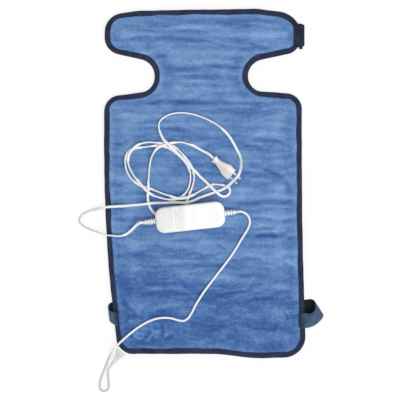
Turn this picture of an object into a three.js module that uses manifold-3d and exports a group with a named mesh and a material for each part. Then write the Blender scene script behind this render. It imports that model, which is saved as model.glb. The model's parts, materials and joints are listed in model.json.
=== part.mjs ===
// Electric neck-and-back heating pad with its hand controller, mains lead and plug.
// Millimetres. +Y runs from the hem to the collar, +Z up out of the plush face.
// The origin is at the middle of the pad, on the flat underside it rests on.
import * as THREE from 'three';
import { mergeVertices } from 'three/addons/utils/BufferGeometryUtils.js';
import Module from 'manifold-3d';

const wasm = await Module();
wasm.setup();

// Pad outline
const PAD_LENGTH = 700;
const BODY_WIDTH = 396;
const COLLAR_WIDTH = 394;
const NECK_WIDTH = 187;
const NECK_SHIFT = 3.3;
const COLLAR_RIGHT_DROP = 12;
const COLLAR_LEFT_DROP = 14;
const COLLAR_BEND_DROP = 4;
const COLLAR_END_DEPTH = 85;
const COLLAR_ROOT_DEPTH = 108;
const SHOULDER_ROOT_DEPTH = 164;
const SHOULDER_RIGHT_DEPTH = 171;
const SHOULDER_LEFT_DEPTH = 177;
const LOBE_RADIUS = 35;
const NOTCH_RADIUS = 30;
const COLLAR_ROOT_RADIUS = 33;
const SHOULDER_RADIUS = 32;
const HEM_RADIUS = 28;
const HEM_RIGHT_RADIUS = 44;
const COLLAR_RIGHT_RADIUS = 50;
const COLLAR_LEFT_RADIUS = 38;
const COLLAR_PEAK = 110;
const COLLAR_PEAK_RADIUS = 120;
const COLLAR_BEND = 130;
const COLLAR_BEND_RADIUS = 150;

// How the pad was laid down: its lower end drawn to the right, its hem pulled up at the left,
// and a little at its right corner
const LAY_SHIFT = 19;
const LAY_DRAW_IN = 10;
const LAY_HEM_LIFT = 9;
const LAY_CORNER_LIFT = 3;
const LAY_FROM = 66;

// Layers, by height above the surface the pad rests on
const GAP = 0.3;
const TAPE = 1.2;
const BINDING_WIDTH = 11.5;
const EDGE_BACK = 1.5;
const EDGE_FRONT = 3.6;
const BACK_THICKNESS = 3;
const FELT_THICKNESS = 2;
const WIRE_DIAMETER = 2.4;
const PAD_CREST = 14;
const CREASE_DEPTH = 0.8;
const CREASE_PITCH = 63;
const CROWN_RUN = 44;

// Heating element
const ROW_COUNT = 13;
const WIRE_MARGIN = 46;
const FELT_MARGIN = 28;

// Straps, which pass under the bound edge
const WEBBING = 1.4;
const STRAP_CLEARANCE = 0.4;
const LOOP_WIDTH = 34;
const LOOP_REACH = 36;
const LOOP_UP = 80;
const LOOP_RISE = 16;
const LOOP_TUCK = 11;
const TAB_LENGTH = 46;
const TAB_REACH = 9.4;
const TAB_DROP = 4.5;

// Connector at the hem's left corner
const CONNECTOR_ANGLE = THREE.MathUtils.degToRad(-127);
const SOCKET_WIDTH = 21;
const SOCKET_DEPTH = 26;
const SOCKET_HEIGHT = 5;
const CONNECTOR_LENGTH = 26;
const NOSE_LENGTH = 7;
const CONTACT_Y = 4;

// Hand controller
const BOX_LENGTH = 138;
const BOX_WIDTH = 51;
const BOX_HEIGHT = 24;
const BOX_RADIUS = 17;
const BOX_WALL = 2.2;
const BOX_SPLIT = 9.5;
const BOX_AT = [-26, -67];
const BOX_TURN = THREE.MathUtils.degToRad(6.4);
const BOX_ROLL = THREE.MathUtils.degToRad(2.1);
const BOX_PITCH = THREE.MathUtils.degToRad(1.5);
const BUTTON_LENGTH = 45;
const BUTTON_WIDTH = 36;
const BUTTON_TRAVEL = 1.2;
const BUTTON_X = 27.5;
const WINDOW_X = -30.5;
const WINDOW_WIDTH = 10;
const BOARD_LENGTH = 84;
const BOARD_WIDTH = 38;
const BOARD = 1.6;
const BOARD_TOP = 6.6;
const SWITCH_HEIGHT = 6;
const PLUNGER_SEAT = 0.8;
const PLUNGER_RISE = 3.8;
const TERMINAL = 6;
const RELIEF_LENGTH = 24;

// Leads and plug
const MAINS_WIDTH = 4.8;
const MAINS_THICKNESS = 3.2;
const PAD_LEAD_DIAMETER = 4.4;
const PLUG_LENGTH = 48;
const PLUG_WIDTH = 35.3;
const PLUG_HEIGHT = 13.7;
const PIN_DIAMETER = 4;
const PIN_LENGTH = 19;
const PIN_SPACING = 18.2;
const PIN_BARE = 9;
const PLUG_AT = [22, 49];
const PLUG_TURN = THREE.MathUtils.degToRad(-42.4);
const PLUG_PITCH = THREE.MathUtils.degToRad(5);
const PLUG_ROLL = THREE.MathUtils.degToRad(54);

const steel = new THREE.MeshStandardMaterial({ color: 0xb8bcc2, metalness: 1, roughness: 0.3 });
const brass = new THREE.MeshStandardMaterial({ color: 0xc9a44f, metalness: 1, roughness: 0.35 });
const whitePlastic = new THREE.MeshStandardMaterial({ color: 0xf0f0ee, roughness: 0.45 });
const warmPlastic = new THREE.MeshStandardMaterial({ color: 0xe6e3df, roughness: 0.5 });
const whiteVinyl = new THREE.MeshStandardMaterial({ color: 0xf4f4f4, roughness: 0.4 });
const lensPlastic = new THREE.MeshStandardMaterial({ color: 0xe9e6e0, roughness: 0.25 });
const bluePlush = new THREE.MeshStandardMaterial({ color: 0x5f86b8, roughness: 1 });
const greyCloth = new THREE.MeshStandardMaterial({ color: 0x6d7685, roughness: 1 });
const navyTape = new THREE.MeshStandardMaterial({ color: 0x2c3350, roughness: 0.9 });
const slateWebbing = new THREE.MeshStandardMaterial({ color: 0x4a5f78, roughness: 0.9 });
const greyFelt = new THREE.MeshStandardMaterial({ color: 0xb9b6ae, roughness: 1 });
const redWire = new THREE.MeshStandardMaterial({ color: 0xb4473a, roughness: 0.5 });
const boardGreen = new THREE.MeshStandardMaterial({ color: 0x2f6b46, roughness: 0.5 });
const blackPlastic = new THREE.MeshStandardMaterial({ color: 0x1d1e20, roughness: 0.5 });

const part = new THREE.Group();
const V = (x, y, z) => new THREE.Vector3(x, y, z);
const smooth = (t) => THREE.MathUtils.smoothstep(t, 0, 1);

function add(parent, name, geometry, material) {
  const mesh = new THREE.Mesh(geometry, material);
  mesh.name = name;
  parent.add(mesh);
  return mesh;
}

// One closed skin facing outwards, from corner points and triangles
function skin(points, triangles) {
  let volume = 0;
  for (let i = 0; i < triangles.length; i += 3) {
    const a = points[triangles[i]];
    const b = points[triangles[i + 1]];
    const c = points[triangles[i + 2]];
    volume += a.dot(b.clone().cross(c));
  }
  const order = volume < 0 ? triangles.slice().reverse() : triangles;
  const geometry = new THREE.BufferGeometry().setFromPoints(points);
  geometry.setIndex(order);
  geometry.computeVertexNormals();
  return geometry;
}

function toSolid(geometry) {
  const bare = geometry.clone();
  bare.deleteAttribute('normal');
  bare.deleteAttribute('uv');
  const welded = mergeVertices(bare, 1e-4);
  const vertProperties = new Float32Array(welded.attributes.position.array);
  const triVerts = new Uint32Array(welded.index.array);
  return new wasm.Manifold(new wasm.Mesh({ numProp: 3, vertProperties, triVerts }));
}

function toGeometry(solid) {
  const mesh = solid.getMesh();
  const geometry = new THREE.BufferGeometry();
  geometry.setAttribute('position', new THREE.BufferAttribute(new Float32Array(mesh.vertProperties), 3));
  geometry.setIndex(new THREE.BufferAttribute(new Uint32Array(mesh.triVerts), 1));
  geometry.computeVertexNormals();
  return geometry;
}

const block = (sx, sy, sz, x, y, z) => new THREE.BoxGeometry(sx, sy, sz).translate(x, y, z);
const blockSolid = (sx, sy, sz, x, y, z) => toSolid(block(sx, sy, sz, x, y, z));

function rod(radius, z0, z1, x, y, sides) {
  const geometry = new THREE.CylinderGeometry(radius, radius, z1 - z0, sides);
  return geometry.rotateX(Math.PI / 2).translate(x, y, (z0 + z1) / 2);
}

// Outline with rounded corners, corners given as [x, y, radius]
function roundedOutline(corners, spacing) {
  const arcs = corners.map((corner, i) => {
    const at = new THREE.Vector2(corner[0], corner[1]);
    const before = corners[(i + corners.length - 1) % corners.length];
    const after = corners[(i + 1) % corners.length];
    const back = new THREE.Vector2(before[0], before[1]).sub(at).normalize();
    const on = new THREE.Vector2(after[0], after[1]).sub(at).normalize();
    const half = Math.acos(THREE.MathUtils.clamp(back.dot(on), -1, 1)) / 2;
    const reach = corner[2] / Math.tan(half);
    const middle = back.clone().add(on).normalize().multiplyScalar(corner[2] / Math.sin(half)).add(at);
    const first = back.clone().multiplyScalar(reach).add(at).sub(middle);
    const last = on.clone().multiplyScalar(reach).add(at).sub(middle);
    let sweep = last.angle() - first.angle();
    sweep = Math.atan2(Math.sin(sweep), Math.cos(sweep));
    const steps = Math.max(2, Math.ceil(Math.abs(sweep) / 0.44));
    const arc = [];
    for (let k = 0; k <= steps; k += 1) {
      const a = first.angle() + (sweep * k) / steps;
      arc.push([middle.x + corner[2] * Math.cos(a), middle.y + corner[2] * Math.sin(a)]);
    }
    return arc;
  });
  const outline = [];
  arcs.forEach((arc, i) => {
    outline.push(...arc);
    const from = arc[arc.length - 1];
    const to = arcs[(i + 1) % arcs.length][0];
    const pieces = Math.max(1, Math.ceil(Math.hypot(to[0] - from[0], to[1] - from[1]) / spacing));
    for (let k = 1; k < pieces; k += 1) {
      const share = k / pieces;
      outline.push([from[0] + (to[0] - from[0]) * share, from[1] + (to[1] - from[1]) * share]);
    }
  });
  return outline;
}

// Where a point of the flat pattern ends up in the pad as it lies
function lay(x, y) {
  const down = Math.max(0, LAY_FROM - y) / (LAY_FROM + PAD_LENGTH / 2);
  const pull = down * down;
  const left = smooth((100 - x) / 100);
  const right = smooth((x - 100) / 100);
  return [
    x + pull * (LAY_SHIFT - (LAY_DRAW_IN * x) / (BODY_WIDTH / 2)),
    y + pull * (LAY_HEM_LIFT * left + LAY_CORNER_LIFT * right),
  ];
}

const TOP = PAD_LENGTH / 2;
const HALF = BODY_WIDTH / 2;
const COLLAR_HALF = COLLAR_WIDTH / 2;
const NECK_RIGHT = NECK_WIDTH / 2 - NECK_SHIFT;
const NECK_LEFT = NECK_WIDTH / 2 + NECK_SHIFT;
const pattern = [
  [HALF, -TOP, HEM_RIGHT_RADIUS],
  [HALF, TOP - SHOULDER_RIGHT_DEPTH, SHOULDER_RADIUS],
  [NECK_RIGHT, TOP - SHOULDER_ROOT_DEPTH, NOTCH_RADIUS],
  [NECK_RIGHT, TOP - COLLAR_ROOT_DEPTH, COLLAR_ROOT_RADIUS],
  [COLLAR_HALF, TOP - COLLAR_END_DEPTH, LOBE_RADIUS],
  [COLLAR_HALF, TOP - COLLAR_RIGHT_DROP, COLLAR_RIGHT_RADIUS],
  [COLLAR_PEAK, TOP, COLLAR_PEAK_RADIUS],
  [-COLLAR_BEND, TOP - COLLAR_BEND_DROP, COLLAR_BEND_RADIUS],
  [-COLLAR_HALF, TOP - COLLAR_LEFT_DROP, COLLAR_LEFT_RADIUS],
  [-COLLAR_HALF, TOP - COLLAR_END_DEPTH, LOBE_RADIUS],
  [-NECK_LEFT, TOP - COLLAR_ROOT_DEPTH, COLLAR_ROOT_RADIUS],
  [-NECK_LEFT, TOP - SHOULDER_ROOT_DEPTH, NOTCH_RADIUS],
  [-HALF, TOP - SHOULDER_LEFT_DEPTH, SHOULDER_RADIUS],
  [-HALF, -TOP, HEM_RADIUS],
];
const outline = roundedOutline(pattern, 72).map(([x, y]) => lay(x, y));

// Inward offset of the outline
function inset(distance) {
  return outline.map((point, i) => {
    const a = outline[(i + outline.length - 1) % outline.length];
    const b = outline[(i + 1) % outline.length];
    const run = Math.hypot(b[0] - a[0], b[1] - a[1]);
    return [point[0] - ((b[1] - a[1]) / run) * distance, point[1] + ((b[0] - a[0]) / run) * distance];
  });
}

function prism(points, z0, z1) {
  const shape = new THREE.Shape(points.map(([x, y]) => new THREE.Vector2(x, y)));
  const geometry = new THREE.ExtrudeGeometry(shape, { depth: z1 - z0, bevelEnabled: false });
  return toSolid(geometry.translate(0, 0, z0));
}

// Band that follows the outline, its section given as [inset, height]
function ring(section) {
  const rails = section.map(([distance, z]) => inset(distance).map(([x, y]) => V(x, y, z)));
  const count = outline.length;
  const points = rails.flat();
  const triangles = [];
  for (let k = 0; k < section.length; k += 1) {
    const next = (k + 1) % section.length;
    for (let i = 0; i < count; i += 1) {
      const j = (i + 1) % count;
      triangles.push(k * count + i, k * count + j, next * count + j);
      triangles.push(k * count + i, next * count + j, next * count + i);
    }
  }
  return skin(points, triangles);
}

function edgeDistance(x, y) {
  let least = Infinity;
  outline.forEach((a, i) => {
    const b = outline[(i + 1) % outline.length];
    const run = (b[0] - a[0]) ** 2 + (b[1] - a[1]) ** 2;
    const t = THREE.MathUtils.clamp(((x - a[0]) * (b[0] - a[0]) + (y - a[1]) * (b[1] - a[1])) / run, 0, 1);
    least = Math.min(least, Math.hypot(x - a[0] - t * (b[0] - a[0]), y - a[1] - t * (b[1] - a[1])));
  });
  return least;
}

// Heights of the layers
const BINDING_LIFT = WEBBING + 2 * STRAP_CLEARANCE;
const BACK_EDGE_Z = BINDING_LIFT + TAPE + GAP;
const FRONT_EDGE_Z = BACK_EDGE_Z + EDGE_BACK + GAP;
const EDGE_TOP_Z = FRONT_EDGE_Z + EDGE_FRONT;
const BINDING_TOP = EDGE_TOP_Z + GAP + TAPE;
const EDGE_MID = (BINDING_LIFT + BINDING_TOP) / 2;
const FELT_Z = BACK_THICKNESS + GAP;
const WIRE_Z = FELT_Z + FELT_THICKNESS + GAP + WIRE_DIAMETER / 2;
const POCKET_Z = WIRE_Z + WIRE_DIAMETER / 2 + GAP;

// Plush face: full in the middle, drawn down to the bound edge, creased from side to side
function plushHeight(x, y) {
  const rise = smooth((edgeDistance(x, y) - BINDING_WIDTH) / CROWN_RUN);
  const crease = Math.cos((2 * Math.PI * (y + 12 * Math.sin(x / 70))) / CREASE_PITCH);
  return EDGE_TOP_Z + (PAD_CREST - CREASE_DEPTH - EDGE_TOP_Z) * rise + CREASE_DEPTH * crease * rise;
}

function plushBlock() {
  const columns = 15;
  const rows = 46;
  const x0 = -HALF - 14;
  const x1 = HALF + 30;
  const points = [];
  for (let layer = 0; layer < 2; layer += 1) {
    for (let j = 0; j <= rows; j += 1) {
      for (let i = 0; i <= columns; i += 1) {
        const x = x0 + ((x1 - x0) * i) / columns;
        const y = -TOP - 12 + ((PAD_LENGTH + 24) * j) / rows;
        const inside = layer === 1;
        points.push(V(x, y, inside ? plushHeight(x, y) : 0));
      }
    }
  }
  const at = (layer, i, j) => layer * (columns + 1) * (rows + 1) + j * (columns + 1) + i;
  const triangles = [];
  const quad = (a, b, c, d) => triangles.push(a, b, c, a, c, d);
  for (let j = 0; j < rows; j += 1) {
    for (let i = 0; i < columns; i += 1) {
      quad(at(1, i, j), at(1, i + 1, j), at(1, i + 1, j + 1), at(1, i, j + 1));
      quad(at(0, i, j), at(0, i, j + 1), at(0, i + 1, j + 1), at(0, i + 1, j));
    }
  }
  for (let i = 0; i < columns; i += 1) {
    quad(at(0, i, 0), at(0, i + 1, 0), at(1, i + 1, 0), at(1, i, 0));
    quad(at(0, i + 1, rows), at(0, i, rows), at(1, i, rows), at(1, i + 1, rows));
  }
  for (let j = 0; j < rows; j += 1) {
    quad(at(0, 0, j + 1), at(0, 0, j), at(1, 0, j), at(1, 0, j + 1));
    quad(at(0, columns, j), at(0, columns, j + 1), at(1, columns, j + 1), at(1, columns, j));
  }
  return toSolid(skin(points, triangles));
}

// Felt that carries the heating wire: body, neck and a strip along the collar
const FELT_HALF = HALF - FELT_MARGIN;
const FELT_NECK = NECK_WIDTH / 2 - FELT_MARGIN;
const COLLAR_DROP = (COLLAR_RIGHT_DROP + COLLAR_LEFT_DROP) / 2;
const COLLAR_MID = TOP - (COLLAR_DROP + COLLAR_END_DEPTH) / 2;
const FELT_COLLAR = COLLAR_HALF - FELT_MARGIN - 20;
const FELT_SHOULDER = TOP - SHOULDER_LEFT_DEPTH - FELT_MARGIN;
function feltOutline(grow) {
  const corners = [
    [FELT_HALF + grow, -TOP + FELT_MARGIN - grow, 14],
    [FELT_HALF + grow, FELT_SHOULDER + grow, 14],
    [FELT_NECK + grow, FELT_SHOULDER + grow, 14],
    [FELT_NECK + grow, COLLAR_MID - 16 - grow, 10],
    [FELT_COLLAR + grow, COLLAR_MID - 16 - grow, 10],
    [FELT_COLLAR + grow, COLLAR_MID + 18 + grow, 10],
    [-FELT_COLLAR - grow, COLLAR_MID + 18 + grow, 10],
    [-FELT_COLLAR - grow, COLLAR_MID - 16 - grow, 10],
    [-FELT_NECK - grow, COLLAR_MID - 16 - grow, 10],
    [-FELT_NECK - grow, FELT_SHOULDER + grow, 14],
    [-FELT_HALF - grow, FELT_SHOULDER + grow, 14],
    [-FELT_HALF - grow, -TOP + FELT_MARGIN - grow, 14],
  ];
  return roundedOutline(corners, 120).map(([x, y]) => lay(x, y));
}

// Connector frame: +X out of the pad's corner, set where that line meets the outline
const hemCorner = lay(-HALF + HEM_RADIUS, -TOP + HEM_RADIUS);
const connectorFrame = new THREE.Matrix4().makeRotationZ(CONNECTOR_ANGLE);
connectorFrame.setPosition(
  hemCorner[0] + HEM_RADIUS * Math.cos(CONNECTOR_ANGLE),
  hemCorner[1] + HEM_RADIUS * Math.sin(CONNECTOR_ANGLE),
  EDGE_MID,
);
const atConnector = (geometry) => geometry.clone().applyMatrix4(connectorFrame);
const roomWidth = SOCKET_WIDTH + 2 * GAP;
const roomHeight = SOCKET_HEIGHT + 2 * GAP;
const roomShape = block(SOCKET_DEPTH + 22, roomWidth, roomHeight, 1 - SOCKET_DEPTH / 2, 0, 0);
const socketRoom = toSolid(atConnector(roomShape));

// Panels
const sewnEdge = inset(TAPE + GAP);
const tuck = BINDING_WIDTH + GAP + 0.2;
const aboveEdge = toSolid(ring([[-6, EDGE_TOP_Z], [tuck, EDGE_TOP_Z], [tuck, 40], [-6, 40]]));
const belowEdge = toSolid(ring([[-6, -9], [tuck, -9], [tuck, BACK_EDGE_Z], [-6, BACK_EDGE_Z]]));
const pocket = prism(feltOutline(1.5), BACK_THICKNESS, POCKET_Z);
const front = prism(sewnEdge, FRONT_EDGE_Z, 40).intersect(plushBlock()).subtract(aboveEdge);
add(part, 'front_panel', toGeometry(front.subtract(pocket).subtract(socketRoom)), bluePlush);
const back = prism(sewnEdge, 0, BACK_EDGE_Z + EDGE_BACK).subtract(belowEdge);
add(part, 'back_panel', toGeometry(back.subtract(pocket).subtract(socketRoom)), greyCloth);
const felt = prism(feltOutline(0), FELT_Z, FELT_Z + FELT_THICKNESS).subtract(socketRoom);
add(part, 'felt_carrier', toGeometry(felt), greyFelt);

// Folded tape round the whole edge, open at the corner where the connector goes in
const bind = ring([
  [0, BINDING_LIFT + 2.4],
  [0, BINDING_TOP - 2.4],
  [2, BINDING_TOP],
  [BINDING_WIDTH, BINDING_TOP],
  [BINDING_WIDTH, BINDING_TOP - TAPE],
  [TAPE, BINDING_TOP - TAPE - 0.05],
  [TAPE, BINDING_LIFT + TAPE + 0.05],
  [BINDING_WIDTH, BINDING_LIFT + TAPE],
  [BINDING_WIDTH, BINDING_LIFT],
  [2, BINDING_LIFT],
]);
add(part, 'edge_binding', toGeometry(toSolid(bind).subtract(socketRoom)), navyTape);

// Tube through a line of points: half width across, half height up, with closed ends
function tube(points, halfWidth, halfHeight, sides) {
  const rings = [];
  points.forEach((point, i) => {
    const before = points[Math.max(0, i - 1)];
    const after = points[Math.min(points.length - 1, i + 1)];
    const along = after.clone().sub(before).normalize();
    const across = V(0, 0, 1).cross(along).normalize();
    const up = along.clone().cross(across);
    for (let k = 0; k < sides; k += 1) {
      const a = (2 * Math.PI * (k + 0.5)) / sides;
      const corner = point.clone().addScaledVector(across, halfWidth * Math.cos(a));
      rings.push(corner.addScaledVector(up, halfHeight * Math.sin(a)));
    }
  });
  const triangles = [];
  for (let i = 0; i + 1 < points.length; i += 1) {
    for (let k = 0; k < sides; k += 1) {
      const a = i * sides + k;
      const b = i * sides + ((k + 1) % sides);
      triangles.push(a, b, b + sides, a, b + sides, a + sides);
    }
  }
  const end = (points.length - 1) * sides;
  for (let k = 1; k + 1 < sides; k += 1) {
    triangles.push(0, k + 1, k, end, end + k, end + k + 1);
  }
  return skin(rings, triangles);
}

function smoothLine(points, step) {
  const curve = new THREE.CatmullRomCurve3(points.map((p) => V(...p)), false, 'centripetal');
  return curve.getSpacedPoints(Math.round(curve.getLength() / step));
}

// Heating wire, row after row from the hem to the collar
const firstRow = -TOP + WIRE_MARGIN;
const lastRow = FELT_SHOULDER - 36;
const rowPitch = (lastRow - firstRow) / (ROW_COUNT - 1);
const rowLeft = -FELT_HALF + rowPitch / 2 + 18;
const rowRight = FELT_HALF - rowPitch / 2 - 6;
const wireLine = [];
let heading = 1;
function row(y, left, right) {
  const from = heading > 0 ? left : right;
  const to = heading > 0 ? right : left;
  wireLine.push([from, y], [(from + to) / 2, y], [to, y]);
  heading = -heading;
}
function turn(x, y, radius) {
  for (let k = 1; k < 4; k += 1) {
    const a = -Math.PI / 2 + (Math.PI * k) / 4;
    wireLine.push([x - heading * radius * Math.cos(a), y + radius * (1 + Math.sin(a))]);
  }
}
for (let i = 0; i < ROW_COUNT; i += 1) {
  const y = firstRow + i * rowPitch;
  row(y, rowLeft, rowRight);
  if (i + 1 < ROW_COUNT) {
    turn(heading > 0 ? rowLeft : rowRight, y, rowPitch / 2);
  }
}
const neckSide = FELT_NECK - 14;
const neckRow = lastRow + 46;
const neckPitch = (COLLAR_MID - 72 - neckRow) / 2;
const neckLeft = -FELT_NECK + neckPitch / 2 + 16;
const neckRight = FELT_NECK - neckPitch / 2 - 5;
wireLine.push([rowRight + 8, lastRow + 4], [rowRight + 11, lastRow + 11], [rowRight + 8, lastRow + 18]);
wireLine.push([rowRight, lastRow + 22], [neckSide + 14, lastRow + 22], [neckSide + 4, lastRow + 28]);
for (let i = 0; i < 3; i += 1) {
  const y = neckRow + i * neckPitch;
  row(y, neckLeft, neckRight);
  if (i < 2) {
    turn(heading > 0 ? neckLeft : neckRight, y, neckPitch / 2);
  }
}
const collarEnd = FELT_COLLAR - 16;
wireLine.push([neckLeft - 10, COLLAR_MID - 62], [neckLeft - 6, COLLAR_MID - 48]);
wireLine.push([neckLeft + 10, COLLAR_MID - 40]);
wireLine.push([neckSide - 10, COLLAR_MID - 18], [neckSide + 16, COLLAR_MID - 8]);
wireLine.push([collarEnd, COLLAR_MID - 8], [collarEnd + 8, COLLAR_MID + 1], [collarEnd, COLLAR_MID + 10]);
wireLine.push([0, COLLAR_MID + 10], [-collarEnd, COLLAR_MID + 10]);
const laid = ([x, y]) => V(...lay(x, y), WIRE_Z);
const socketTail = (y) => V(-SOCKET_DEPTH - 1.3, y, WIRE_Z - EDGE_MID).applyMatrix4(connectorFrame);
const wirePath = [socketTail(4), ...wireLine.map(laid)];
add(part, 'heating_wire', tube(wirePath, WIRE_DIAMETER / 2, WIRE_DIAMETER / 2, 5), redWire);

// Return lead down the left side, broken by the thermal cut-out
const backUpper = [
  [-collarEnd - 1, COLLAR_MID + 10],
  [-collarEnd - 9, COLLAR_MID + 6],
  [-collarEnd - 9, COLLAR_MID - 4],
  [-collarEnd, COLLAR_MID - 8],
  [-neckSide - 22, COLLAR_MID - 8],
  [-neckSide - 8, COLLAR_MID - 22],
  [-neckSide - 8, FELT_SHOULDER + 2],
  [-neckSide - 22, FELT_SHOULDER - 8],
  [rowLeft - 17, FELT_SHOULDER - 8],
  [rowLeft - 27, FELT_SHOULDER - 20],
  [rowLeft - 27, 20],
];
const backLower = [
  [rowLeft - 27, -2],
  [rowLeft - 27, firstRow + 20],
  [rowLeft - 20, firstRow + 4],
];
const thin = WIRE_DIAMETER / 2 - 0.2;
add(part, 'return_lead_upper', tube(backUpper.map(laid), thin, thin, 5), whiteVinyl);
const lowerPath = [...backLower.map(laid), socketTail(-4)];
add(part, 'return_lead_lower', tube(lowerPath, thin, thin, 5), whiteVinyl);
const cutoutAt = lay(rowLeft - 27, 9);
add(part, 'thermal_cutout', block(5, 21, 2.2, cutoutAt[0], cutoutAt[1], WIRE_Z - 0.1), blackPlastic);

// Socket in the corner, with two blade contacts in its slot
const SLOT_WIDTH = SOCKET_WIDTH - 6;
const SLOT_HEIGHT = SOCKET_HEIGHT - 1.8;
const slot = block(12.6, SLOT_WIDTH, SLOT_HEIGHT, -5.7, 0, 0);
const socketShape = block(SOCKET_DEPTH, SOCKET_WIDTH, SOCKET_HEIGHT, -SOCKET_DEPTH / 2 - GAP, 0, 0);
const socketBody = toSolid(socketShape);
const socket = toGeometry(socketBody.subtract(toSolid(slot)));
add(part, 'pad_socket', atConnector(socket), whitePlastic);
[['socket_contact_a', CONTACT_Y], ['socket_contact_b', -CONTACT_Y]].forEach(([name, y]) => {
  add(part, name, atConnector(block(8.6, 2.2, 0.8, -7.3, y, 0)), brass);
});

// Webbing folded through a line of points [x, y, z], its width along Y
function strap(points, width) {
  const line = new THREE.CatmullRomCurve3(points.map((p) => V(...p)), false, 'centripetal');
  const stations = line.getSpacedPoints(22);
  return tube4(stations, width / 2, WEBBING / 2);
}

// Flat band of four corners, its width always along Y
function tube4(points, halfWidth, halfThick) {
  const corners = [];
  points.forEach((point, i) => {
    const before = points[Math.max(0, i - 1)];
    const after = points[Math.min(points.length - 1, i + 1)];
    const along = V(after.x - before.x, 0, after.z - before.z).normalize();
    const up = V(-along.z, 0, along.x);
    [[1, 1], [-1, 1], [-1, -1], [1, -1]].forEach(([side, face]) => {
      corners.push(point.clone().add(V(0, side * halfWidth, 0)).addScaledVector(up, face * halfThick));
    });
  });
  const triangles = [];
  for (let i = 0; i + 1 < points.length; i += 1) {
    for (let k = 0; k < 4; k += 1) {
      const a = i * 4 + k;
      const b = i * 4 + ((k + 1) % 4);
      triangles.push(a, b, b + 4, a, b + 4, a + 4);
    }
  }
  const end = (points.length - 1) * 4;
  triangles.push(0, 2, 1, 0, 3, 2, end, end + 1, end + 2, end, end + 2, end + 3);
  return skin(corners, triangles);
}

const strapTop = BINDING_TOP + GAP + WEBBING / 2;
const strapUnder = WEBBING / 2 + STRAP_CLEARANCE;
const loopY = -TOP + LOOP_UP;
const rightEdge = lay(HALF, loopY)[0];
const loopRight = [
  [-0.22, 0.7, strapUnder],
  [0.17, 0.7, strapUnder + 0.1],
  [0.6, 0.68, strapUnder + 0.1 * LOOP_RISE],
  [0.97, 0.6, strapUnder + 0.5 * LOOP_RISE],
  [0.89, 0.5, strapUnder + LOOP_RISE],
  [0.5, 0.24, strapTop + 0.5 * LOOP_RISE],
  [0.11, -0.03, strapTop + 0.21 * LOOP_RISE],
  [-0.11, -0.12, strapTop + 0.03 * LOOP_RISE],
  [-0.28, -0.15, strapTop],
].map(([out, up, z]) => [rightEdge + out * LOOP_REACH, loopY + up * LOOP_WIDTH, z]);
add(part, 'belt_loop_right', strap(loopRight, LOOP_WIDTH), slateWebbing);
const leftLoopY = loopY + 2;
const leftEdge = lay(-HALF, leftLoopY)[0];
const loopLeft = [
  [-0.73, 0.38, strapUnder],
  [0.27, 0.35, strapUnder + 0.01 * LOOP_RISE],
  [1, 0.26, strapUnder + 0.225 * LOOP_RISE],
  [0.95, 0.15, strapUnder + 0.59 * LOOP_RISE],
  [0.18, 0.06, strapTop + 0.15 * LOOP_RISE],
  [-0.36, 0, strapTop + 0.04 * LOOP_RISE],
  [-1, -0.03, strapTop],
].map(([out, up, z]) => [leftEdge - out * LOOP_TUCK, leftLoopY + up * LOOP_WIDTH, z]);
add(part, 'belt_loop_left', strap(loopLeft, LOOP_WIDTH - 4), slateWebbing);

// Collar tab: folded round the edge of the right lobe, with its hook strip inside the fold
const tabY = COLLAR_MID - TAB_DROP;
const tabEdge = COLLAR_HALF;
const tab = [
  [tabEdge - 8, tabY, strapUnder],
  [tabEdge + 3, tabY, strapUnder],
  [tabEdge + TAB_REACH - 2.5, tabY, strapUnder + 2],
  [tabEdge + TAB_REACH - 1, tabY, EDGE_MID],
  [tabEdge + TAB_REACH - 3, tabY, strapTop - 1.6],
  [tabEdge + 2, tabY, strapTop],
  [tabEdge - 12, tabY, strapTop],
];
add(part, 'collar_tab', strap(tab, TAB_LENGTH), navyTape);
const hookStrip = block(3, TAB_LENGTH, 1.6, tabEdge + 2.2, tabY - 4, strapUnder + 2);
add(part, 'collar_hook_strip', hookStrip, blackPlastic);

// Lead side of the connector
const outlineOf = (points) => new THREE.Shape(points.map(([x, y]) => new THREE.Vector2(x, y)));
const grip = new THREE.ExtrudeGeometry(
  outlineOf([
    [0.6, -10],
    [10, -8.6],
    [CONNECTOR_LENGTH, -3.4],
    [CONNECTOR_LENGTH, 3.4],
    [10, 8.6],
    [0.6, 10],
  ]),
  { depth: 3.2, bevelEnabled: true, bevelSize: 0.5, bevelThickness: 0.9, bevelSegments: 1, steps: 1 },
).translate(0, 0, -1.6);
const noseTube = new THREE.CylinderGeometry(2.7, 3.1, NOSE_LENGTH + 1, 10).rotateZ(-Math.PI / 2);
noseTube.translate(CONNECTOR_LENGTH + NOSE_LENGTH / 2 - 0.1, 0, 0);
let connector = toSolid(grip).add(toSolid(noseTube));
connector = connector.add(blockSolid(11.6, SLOT_WIDTH - 0.8, SLOT_HEIGHT - 0.6, -4.9, 0, 0));
[CONTACT_Y, -CONTACT_Y].forEach((y) => {
  connector = connector.subtract(blockSolid(9.8, 2.8, 1.4, -6.3, y, 0));
});
[7, 10, 13, 16].forEach((x) => {
  connector = connector.add(blockSolid(1.2, 2 * (9.6 - 0.36 * x) - 2.4, 5.9, x, 0, 0));
});
const control = new THREE.Group();
part.add(control);
add(control, 'lead_connector', atConnector(toGeometry(connector)), whitePlastic);

// Hand controller, in its own frame: +X along it, +Z up, z = 0 at its underside
const box = new THREE.Group();
const tilt = new THREE.Matrix4().makeRotationY(BOX_PITCH);
tilt.premultiply(new THREE.Matrix4().makeRotationX(BOX_ROLL));
tilt.premultiply(new THREE.Matrix4().makeRotationZ(BOX_TURN));
const lowCorner = V(BOX_LENGTH / 2, -BOX_WIDTH / 2, 0).applyMatrix4(tilt);
tilt.setPosition(BOX_AT[0], BOX_AT[1], PAD_CREST + GAP - lowCorner.z);
box.applyMatrix4(tilt);
control.add(box);

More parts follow.
